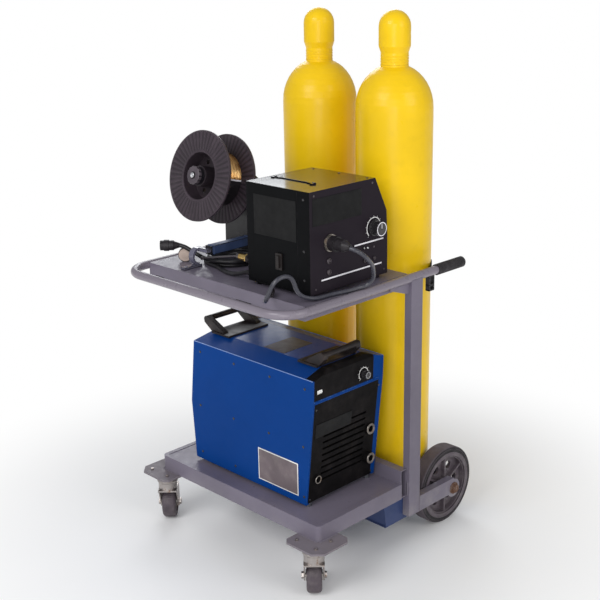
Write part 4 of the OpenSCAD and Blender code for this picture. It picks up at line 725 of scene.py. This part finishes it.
def make_strap_hooks(finish):
    """Flat hooks over the handle tubes and the buckle between the cylinders."""
    bm = bmesh.new()
    sides = ((-12, -7, -34, 14), (7, 12, -34, 14), (-12, 12, -34, -29), (-12, 12, -18, -13),
             (-12, 12, 9.5, 13.5))
    for x in (-HOOK_X, HOOK_X):
        for y0, y1, z0, z1 in sides:
            add_block(bm, (x - 8, HOOK_Y + y0, STRAP_Z + z0), (x + 8, HOOK_Y + y1, STRAP_Z + z1), 1.2)
    back = CYLINDER_Y + STRAP_INNER
    add_block(bm, (-24, back + 2.5, STRAP_Z - 16), (24, back + 5, STRAP_Z + 16), 0.8)
    for x in (-20, -6, 8):
        add_block(bm, (x, back + 4, STRAP_Z - 16), (x + 6, back + 7, STRAP_Z + 16), 1)
    piece("strap_hooks", bm, "cart", finish["support"])


# --- Spool and wire ---


PACK_R = 80.5


def spindle_turn():
    """The outer face of the spool's near flange on its axis, and the way the tilted axis runs."""
    tilt = math.radians(14)
    return at(-223, 100, 1139), Vector((0, math.cos(tilt), -math.sin(tilt)))


def spindle_frame():
    """Carries a point given along and round the spindle to the frame."""
    start, away = spindle_turn()
    return Matrix.Translation(start) @ frame_to(away)


def make_winding():
    """Level-wound welding wire: a full outer layer with a few turns crossing it."""
    turn = spindle_frame()
    wire, low, high, steps = 0.62, 5.6, 97.4, 40
    turns = int((high - low) / (2 * wire + 0.06))
    layer = []
    for i in range(turns * steps + 1):
        along = low + wire + (high - low - 2 * wire) * i / (turns * steps)
        r = PACK_R - wire + 0.5 * math.sin(along * 0.55) - 0.4 * math.sin(along * 0.21)
        layer.append(around(turn, r, 2 * math.pi * i / steps, along))
    bm = bmesh.new()
    add_tube(bm, layer, wire / 1000, 5)
    steps, spots = 48, 4 * 48
    crossing = [around(turn, PACK_R + wire, 2 * math.pi * i / steps + 1, 20 + 46 * i / spots)
                for i in range(spots + 1)]
    add_tube(bm, crossing, wire / 1000, 5)
    core = PACK_R - 2.2
    add_lathe(bm, *spindle_turn(), [(5.2, 73.2), (5.2, core), (97.8, core), (97.8, 73.2)], 64, True)
    p = Paint("copper_coated_wire")
    tone = p.mottled(30, (0.52, 0.27, 0.09), (0.80, 0.52, 0.22), 4)
    p.set(Base_Color=tone, Metallic=1.0, Roughness=p.spread(p.noise(60, 3), 0.22, 0.4))
    wound = piece("wire_pack", bm, "spool", p.mat)
    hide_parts("wire_winding")


def make_pack_sheet(finish):
    """A thin dark skin over the wire from below its left side round to its right, with a pale band at its
    upper end.
    """
    start, away = spindle_turn()
    side = Vector((1, 0, 0))
    up = side.cross(away)
    for name, look, first, last, inner, outer in (("pack_sheet", "plug", -150, 2, 0.6, 1.1),
                                                  ("pack_sheet_edge", "print", 0.6, 4, 1.1, 1.35)):
        steps = max(3, int((last - first) / 4))
        rows = []
        for i in range(steps + 1):
            a = math.radians(first + (last - first) * i / steps)
            out = side * math.cos(a) + up * math.sin(a)
            rows.append([start + away * along / 1000 + out * (PACK_R + lift) / 1000
                         for along, lift in ((7, inner), (96, inner), (96, outer), (7, outer))])
        bm = bmesh.new()
        add_skin(bm, rows)
        bmesh.ops.recalc_face_normals(bm, faces=bm.faces)
        piece(name, bm, "spool", finish[look])


def make_spool_ribs(finish):
    """Fine ribs between the moulded ones, and the raised rims of both flanges."""
    axis = spindle_turn()
    count, inner, length = 24, 0.0785, 0.053
    bm = bmesh.new()
    for i in range(count):
        spin = spindle_frame() @ Matrix.Rotation(2 * math.pi * (i + 0.5) / count, 4, "Z")
        add_cube(bm, lambda x, y, z: spin @ Vector((inner + (x + 0.5) * length,
                                                    math.copysign(0.0013 if z > 0 else 0.0007, y),
                                                    0.0004 if z > 0 else -0.0008)))
    for z in (-0.9, 97.1):
        add_lathe(bm, *axis, [(z, 134.9), (z - 0.2, 133.9), (z + 0.9, 131.6), (z + 1.8, 133.4)], 96, True)
    add_lathe(bm, *axis, [(0.2, 71.0), (-1.0, 71.6), (-1.0, 75.4), (0.2, 76.0)], 96, True)
    piece("spool_ribs", bm, "spool", finish["spool"])


def make_spindle_end(finish):
    """Fluted skin of the spindle's end knob and the screw in its middle."""
    turn = spindle_frame()
    flutes, steps = 12, 96
    rows = []
    for along, r in ((-12, 25.8), (-13.2, 27.6), (-22.6, 27.6), (-24.2, 25.4), (-24.2, 11.5), (-22.8, 10.4)):
        depth = 1.5 if r > 25 else 0
        angles = [2 * math.pi * k / steps for k in range(steps)]
        rows.append([around(turn, r - depth * max(0, math.cos(flutes * a)), a, along) for a in angles])
    bm = bmesh.new()
    add_skin(bm, rows, ring=True)
    piece("spindle_knob_skin", bm, "cart", finish["knob_grey"])
    bm = bmesh.new()
    start, away = spindle_turn()
    add_screw(bm, start - away * 0.0259, -away, 8, 3.2)
    piece("spindle_screw", bm, "cart", finish["aluminium"])


# --- Shelf details ---


def add_strip(bm, places, low_x, high_x):
    """A flat strip through pairs of inner and outer places, given as (y, z) in base millimetres."""
    add_skin(bm, [[at(low_x, *a), at(high_x, *a), at(high_x, *b), at(low_x, *b)] for a, b in places])


def make_shelf_details(finish):
    """Sleeve of the cross bar, bright skin of its hooked foot and the face of the round adapter."""
    bm = bmesh.new()
    add_block(bm, (-168, 69, 916), (-140, 231, 944), 2.6, 4)
    for y in (78, 222):
        add_block(bm, (-168.8, y - 3, 915.2), (-139.2, y + 3, 944.8), 2, 3)
    piece("bar_sleeve", bm, "cart", finish["blue_sleeve"])
    bend_y, bend_z = 52, 910
    bend = [math.radians(90 + 5 * i) for i in range(37)]
    places = [[(bend_y + r * math.cos(a), bend_z + r * math.sin(a)) for r in (19.4, 26.6)] for a in bend]
    bm = bmesh.new()
    add_strip(bm, places, -197.6, -178.4)
    add_block(bm, (-198.7, -6.7, SHELF_TOP + 0.2), (-177.3, 60.7, 885.7), 2, 3)
    add_block(bm, (-198.7, 50.8, 924.4), (-141.3, 67.7, 935.7), 2, 3)
    add_screw(bm, at(-188, 6, 885.6), (0, 0, 1), 5, 2.4)
    piece("hook_skin", bm, "cart", finish["rest"])
    stepped = [(12, 0), (12, 18.2), (14.2, 19.9), (14.9, 19.3), (15.2, 15), (14.9, 14), (15.3, 12.6),
               (15.5, 0)]
    bm = bmesh.new()
    add_lathe(bm, at(-262, 66, 899.8), (math.sqrt(0.5), -math.sqrt(0.5), 0), stepped, 48)
    piece("adapter_face", bm, "cart", finish["adapter"])


# --- Power source details ---


def front_line(z):
    """X of the power source's front at a height: the louvred panel leans back, the panel above it hardly."""
    low, split, top = 236, 564, 640
    low_x, split_x, top_x = 245, 281, 284
    if z <= split:
        return low_x + (split_x - low_x) * (z - low) / (split - low)
    return split_x + (top_x - split_x) * (z - split) / (top - split)


def add_face_plate(bm, y0, y1, z0, z1, out, thick, bevel):
    """A thin plate lying on the sloping front face of the power source."""
    def place(x, y, z):
        height = z0 + (z + 0.5) * (z1 - z0)
        return at(front_line(height) + out + (thick if x > 0 else 0), y0 + (y + 0.5) * (y1 - y0), height)
    add_cube(bm, place, bevel)


def add_screw(bm, place, direction, r, h):
    """A domed screw head with a recess in its middle."""
    dome = ((0, 0), (0, 1), (0.5, 0.96), (0.9, 0.6), (1, 0.3), (0.4, 0.18), (0.4, 0))
    add_lathe(bm, place, direction, [(h * along, r * out) for along, out in dome], 20)


def add_dial(bm, x, y, z, outer, inner):
    """A printed arc round a knob on a face that looks along +X, with eleven short ticks."""
    first, sweep, steps, ticks, thick = 225, 270, 48, 10, 0.6

    def spot(angle, r, up):
        return at(x + up, y + r * math.cos(angle), z + r * math.sin(angle))

    section = ((0, inner), (thick, inner), (thick, outer), (0, outer))
    turns = [math.radians(first - sweep * i / steps) for i in range(steps, -1, -1)]
    add_skin(bm, [[spot(a, r, up) for up, r in section] for a in turns])
    for i in range(ticks + 1):
        a = math.radians(first - sweep * i / ticks)
        wide = Vector((0, -math.sin(a), math.cos(a))) * 0.0005
        ends = ((outer + 4, -wide), (outer + 4, wide), (outer + 1.5, wide), (outer + 1.5, -wide))
        add_skin(bm, [[spot(a, r, up) + aside for r, aside in ends] for up in (0, thick)])


def make_power_plates(finish):
    """Light blue beads as painted highlights along the case's shoulder folds, the stripe on its front, and
    bare plates where the maker's own would be.
    """
    # painted highlight: the light blue of the shoulder beads stands for the shine along the folds
    light = painted("case_fold_painted_highlight", (0.22, 0.33, 0.62), 0.35, 0.3, coat=0.2)
    border = plastic("plate_border", (0.78, 0.77, 0.75), 0.4, 500, 0.1)
    field = plastic("plate_field", (0.135, 0.105, 0.115), 0.42, 700, 0.2, (0.30, 0.26, 0.24), 0.35)
    top = painted("top_plate_paint", (0.060, 0.050, 0.055), 0.40, 0.2, BARE, 0.3, shine=0.3)
    bm = bmesh.new()
    for y in (CASE_NEAR - 0.2, CASE_FAR + 0.2):
        add_tube(bm, [at(-232 + 512 * i / 24, y, 630.2) for i in range(25)], 0.0011, 8)
    piece("shoulder_highlight_beads", bm, "cart", light)
    bm = bmesh.new()
    add_face_plate(bm, 61, 332, 559.6, 567.8, -0.6, 2.2, 0.8)
    piece("front_stripe", bm, "cart", finish["blue"])
    block_piece("side_plate_border", "cart", border, "panel_black", ((46, 57.1, 257), (215, 58, 360), 0.4))
    block_piece("side_plate_field", "cart", field, "panel_black",
                ((49.5, 56.7, 260.5), (211.5, 57.4, 356.5), 0.25))
    bm = bmesh.new()
    add_face_plate(bm, 74, 225, 448, 492, 0.1, 1.2, 0.6)
    piece("front_plate", bm, "cart", finish["blank"])
    block_piece("top_plate", "cart", top, "base_steel", ((10, 126, 649.6), (96, 246, 650.9), 0.5))
    bm = bmesh.new()
    add_dial(bm, 284.1, *POWER_KNOB, 20, 18)
    piece("power_dial_ring", bm, "cart", border)


def make_power_hardware(finish):
    """Screws of the case, and metal rims in the output sockets and round the control receptacle."""
    bm = bmesh.new()
    for x in (-215, -60, 95, 238):
        for z in (262, 420, 600):
            if (x, z) == (95, 262):  # the bare side plate lies here
                continue
            for y, way in ((CASE_NEAR, -1), (CASE_FAR, 1)):
                add_screw(bm, at(x if z < 600 else x + 10, y, z), (0, way, 0), 4.2, 1.6)
    for y in (72, 335):
        for z in (250, 540):
            add_screw(bm, at(front_line(z), y, z), (1, 0, -0.1), 3.6, 1.6)
    piece("case_screws", bm, "cart", finish["knob"])
    bm = bmesh.new()
    for z in (308, 404):
        add_lathe(bm, at(271, 310, z), (1, 0, 0), [(-0.4, 17.6), (1.2, 17), (1.2, 11), (-0.4, 9.6)], 40, True)
    add_lathe(bm, at(261, 94, 312), (1, 0, 0), [(-0.4, 12.6), (1.2, 12), (1.2, 9.8), (-0.4, 9.2)], 32, True)
    piece("socket_rims", bm, "cart", finish["worn_nickel"])


# --- Feeder details ---


def make_feeder_face(finish):
    """Bare plates, dial rings, bright rings on the knobs, and the trim bars, white as a painted reflection of
    their chrome.
    """
    border = plastic("dial_print", (0.80, 0.79, 0.78), 0.4, 500, 0.1)
    knob_y, knob_z = SPEED_KNOB
    knob_end = corners("speed_knob")[1][0]
    block_piece("door_plate", "feeder_door", finish["blank"], "panel_black",
                ((92, FEEDER_NEAR - 0.9, 1030), (256, FEEDER_NEAR, 1142), 0.3))
    block_piece("feeder_front_plate", "cart", finish["blank"], "panel_black",
                ((FEEDER_FACE, 40, 1078), (FEEDER_FACE + 1, 231, 1152), 0.3))
    bm = bmesh.new()
    add_dial(bm, FEEDER_FACE + 0.05, knob_y, knob_z, 30, 27.4)
    piece("speed_dial_ring", bm, "cart", border)
    bm = bmesh.new()
    ring = [(-0.6, 19.9), (0.3, 19.7), (0.3, 17.4), (-0.6, 17.2)]
    add_lathe(bm, at(knob_end, knob_y, knob_z), (1, 0, 0), ring, 56, True)
    add_block(bm, (knob_end - 0.4, knob_y - 1, knob_z + 1), (knob_end + 0.3, knob_y + 1, knob_z + 16), 0.3)
    piece("speed_knob_ring", bm, "speed_knob", finish["print"])
    bm = bmesh.new()
    ring = [(-0.6, 9.6), (0.3, 9.4), (0.3, 8), (-0.6, 7.8)]
    add_lathe(bm, at(303.3, *POWER_KNOB), (1, 0, 0), ring, 32, True)
    piece("power_knob_ring", bm, "power_knob", finish["steel"])
    # painted reflection: the chrome trim bars take the white print finish for the bright light they reflect
    low, high = FEEDER_FACE + 1.6, FEEDER_FACE + 2.6
    block_piece("trim_bars", "cart", finish["print"], "toggle_chrome",
                ((low, 199.5, 993.6), (high, 320.4, 998.4), 0.45),
                ((low, 68.5, 923.6), (high, 313.4, 928.4), 0.45))


def make_feeder_hardware(finish):
    """Screws, small sockets and indicator lamps of the control face, and screws on the fixed sheets."""
    socket = [(0, 5.2), (3.5, 5), (4, 4.2), (4, 2.6), (1.2, 2.4), (1.2, 0)]
    lamp_ring = [(0, 8.2), (2.5, 8), (3, 7.4), (3, 6.4), (0.8, 6.2), (0.8, 0)]
    ahead = (1, 0, 0)
    bm = bmesh.new()
    for y, z in ((50, 904), (326, 904), (46, 1160), (276, 1160), (283, 978)):
        add_screw(bm, at(FEEDER_FACE, y, z), ahead, 3.2, 1.6)
    for y in (243, 283):
        add_lathe(bm, at(FEEDER_FACE, y, 945), ahead, socket, 28)
    for z in (974, 943):
        add_lathe(bm, at(FEEDER_FACE, 100, z), ahead, lamp_ring, 28)
    piece("control_face_hardware", bm, "cart", finish["dull_steel"])
    spots = [((x, 272, 1172), (0, 0, 1)) for x in (84, 184, 290)]
    spots += [((284, FEEDER_NEAR, z), (0, -1, 0)) for z in (930, 1010, 1150)]
    spots += [((FEEDER_BACK, y, z), (-1, 0, 0)) for y in (60, 180, 300) for z in (930, 1060)]
    spots += [((x, 340, z), (0, 1, 0)) for x in (90, 184, 280) for z in (925, 985)]
    bm = bmesh.new()
    for place, way in spots:
        add_screw(bm, at(*place), way, 3.8, 1.6)
    piece("feeder_screws", bm, "cart", finish["knob"])


# --- Cart details ---


def weld(bm, start, end, r):
    """A rippled weld bead between two places in base millimetres."""
    steps = max(2, int(math.dist(start, end) / 2.2))
    spots = [at(*(a + (b - a) * i / steps for a, b in zip(start, end))) for i in range(steps + 1)]
    add_tube(bm, spots, lambda i: (r + 0.45 * math.sin(i * 2.1) + 0.2 * math.sin(i * 0.9)) / 1000, 8)


def make_cart_details():
    """Weld beads of the cart, and two drain slots in the folded edge of the shelf pan as dark plates of
    painted shade.
    """
    # a bead's ends and its radius, for the right side; the left side mirrors them
    beads = [
        # post to deck edge, arm to post
        ((332, 389, 228), (332, 389, 182), 2.6), ((350, 388.5, 181), (350, 388.5, 226), 2.6),
        ((357, 438.5, 112), (357, 438.5, 160), 2.2), ((332, 439, 161), (357, 439, 161), 2.2),
        # post to handle tube, gusset to handle tube
        ((355, 391, 861), (355, 437, 861), 2.2), ((334, 391, 861), (334, 437, 861), 2.2),
        ((348, 309, 856.6), (348, 387, 856.6), 2.0), ((341, 309, 856.6), (341, 387, 856.6), 2.0),
        # shelf pan to handle tube, in short runs
        *(((332, y, 875.5), (332, y + 32, 875.5), 2.4) for y in (10, 130, 250, 360)),
        # corner plate to deck skirt, tray wall to post
        ((351, 4, 179.5), (351, 76, 179.5), 2.4), ((270, -0.5, 179.5), (346, -0.5, 179.5), 2.4),
        ((273, 445, 104), (273, 445, 176), 2.0),
    ]
    bm = bmesh.new()
    for side in (-1, 1):
        for (x0, *start), (x1, *end), r in beads:
            weld(bm, (side * x0, *start), (side * x1, *end), r)
    bead = painted("weld_bead_enamel", (0.135, 0.118, 0.150), 0.42, 0.6, BARE, 0.4)
    piece("weld_beads", bm, "cart", bead)
    dark = plastic("slot_shadow", (0.006, 0.006, 0.007), 0.8, 400, 0.1)
    block_piece("pan_slots", "cart", dark, "cart_paint", ((-302, -20.35, 840), (-264, -19.9, 843.4), 0.1),
                ((59, -20.35, 840), (122, -19.9, 843.4), 0.1))


def make_wheel_details(finish):
    """Moulded rings on the tyre sides, rim flanges and the casters' ball races."""
    tyre_ring = [(24.6, 117.6), (25.7, 118.5), (25.7, 119.5), (24.6, 120.4)]
    flange = [(21.5, 99.5), (24.8, 96), (26.2, 97.5), (25.4, 101), (25.2, 106), (26.5, 107.6), (26.2, 109.3),
              (24.4, 109.6)]
    race = [(-6, 31), (-2, 33.6), (3, 33.6), (6.5, 31), (6.5, 30.2), (-6, 30.2)]
    for side, name in ((1, "right"), (-1, "left")):
        wheel = at(side * 303.2, *REAR_AXLE)
        for kind, outline, look, slot in (("tyre_rings_", tyre_ring, "tyre", "tyre_rubber"),
                                          ("rim_flange_", flange, "hub", "hub_iron")):
            bm = bmesh.new()
            for way in (-1, 1):
                add_lathe(bm, wheel, (way, 0, 0), outline, 96, True)
            piece(kind + name, bm, "rear_wheel_" + name, finish[look])
        bm = bmesh.new()
        add_lathe(bm, at(side * CASTER_X, 0, 147), (0, 0, 1), race, 48, True)
        piece("swivel_race_" + name, bm, "caster_" + name, finish["zinc"])


def make_cylinder_details(finish):
    """Threads at the foot of each valve cap."""
    foot = corners("cap_right")[0][2]
    for side, name in ((1, "right"), (-1, "left")):
        bm = bmesh.new()
        for z in (foot + 6, foot + 14, foot + 22):
            thread = [(z, 40.6), (z + 1.6, 41.9), (z + 3.2, 41.9), (z + 4.8, 40.6)]
            add_lathe(bm, at(side * CYLINDER_X, CYLINDER_Y, 0), (0, 0, 1), thread, 64, True)
        piece("cap_rings_" + name, bm, "cap_" + name, finish["yellow"])


# --- Stage ---


def make_world():
    """White to the camera and a cooler, weaker light to everything else."""
    world = bpy.data.worlds.new("world")
    bpy.context.scene.world = world
    world.use_nodes = True
    tree = world.node_tree
    back = tree.nodes["Background"]
    seen = tree.nodes.new("ShaderNodeLightPath")
    white = tree.nodes.new("ShaderNodeBackground")
    both = tree.nodes.new("ShaderNodeMixShader")
    back.inputs[0].default_value = (0.95, 0.97, 1.0, 1)
    back.inputs[1].default_value = 0.42
    white.inputs[0].default_value = (1, 1, 1, 1)
    white.inputs[1].default_value = 1.0
    tree.links.new(seen.outputs["Is Camera Ray"], both.inputs[0])
    tree.links.new(back.outputs[0], both.inputs[1])
    tree.links.new(white.outputs[0], both.inputs[2])
    tree.links.new(both.outputs[0], tree.nodes["World Output"].inputs[0])


def make_floor():
    """A pale floor that fades to white away from the cart."""
    bm = bmesh.new()
    bmesh.ops.create_grid(bm, x_segments=8, y_segments=8, size=14)
    mesh = bpy.data.meshes.new("floor")
    bm.to_mesh(mesh)
    bm.free()
    floor = show("floor", mesh)
    p = Paint("pale_floor")
    tone = p.mix(p.ramp(p.noise(0.8, 3), 0.3, 0.7), (0.93, 0.93, 0.93), (0.96, 0.96, 0.96))
    p.set(Base_Color=tone, Roughness=0.85)
    away = p.axis_distance((0, 0, 0), (0, 0, 1))
    ray = p.node("ShaderNodeLightPath")
    seen = p.math("MAXIMUM", ray.outputs["Is Camera Ray"], ray.outputs["Is Glossy Ray"])
    glow = p.node("ShaderNodeEmission", {"Color": (1, 1, 1)})
    share = p.times(p.ramp(away, 0.55, 1.5), seen)
    both = p.node("ShaderNodeMixShader", {0: share, 1: p.bsdf.outputs[0], 2: glow.outputs[0]})
    p.feed(p.tree.nodes["Material Output"].inputs[0], both.outputs[0])
    mesh.materials.append(p.mat)


def lamp(name, place, target, size, power, colour=(1, 1, 1)):
    """A rectangular light that looks at a target."""
    data = bpy.data.lights.new(name, "AREA")
    data.shape = "RECTANGLE"
    data.size, data.size_y = size
    data.energy = power
    data.color = colour
    obj = show(name, data)
    obj.location = place
    obj.rotation_mode = "QUATERNION"
    obj.rotation_quaternion = (Vector(target) - Vector(place)).to_track_quat("-Z", "Y")


def make_lights():
    lamp("key", (0.4, -4.2, 3.6), (0, 0, 0.8), (2.4, 2.4), 108)
    lamp("front", (2.9, -3.5, 1.5), (0, 0, 0.8), (2.0, 2.0), 52)
    lamp("fill", (4.4, 0.2, 2.6), (0, 0, 0.9), (2.2, 2.6), 52, (1.0, 0.99, 0.97))
    lamp("back", (-3.4, 3.0, 3.2), (0, 0, 1.0), (2.6, 2.0), 66, (0.95, 0.97, 1.0))


def main():
    scene = bpy.context.scene
    scene.view_settings.view_transform = "Standard"
    make_camera()
    finish = make_finishes()
    make_cords(finish)
    dress_nodes(finish)
    make_strap(finish)
    make_strap_hooks(finish)
    make_winding()
    make_pack_sheet(finish)
    make_spool_ribs(finish)
    make_spindle_end(finish)
    make_shelf_details(finish)
    make_power_plates(finish)
    make_power_hardware(finish)
    make_feeder_face(finish)
    make_feeder_hardware(finish)
    make_cart_details()
    make_wheel_details(finish)
    make_cylinder_details(finish)
    make_world()
    make_floor()
    make_lights()


main()
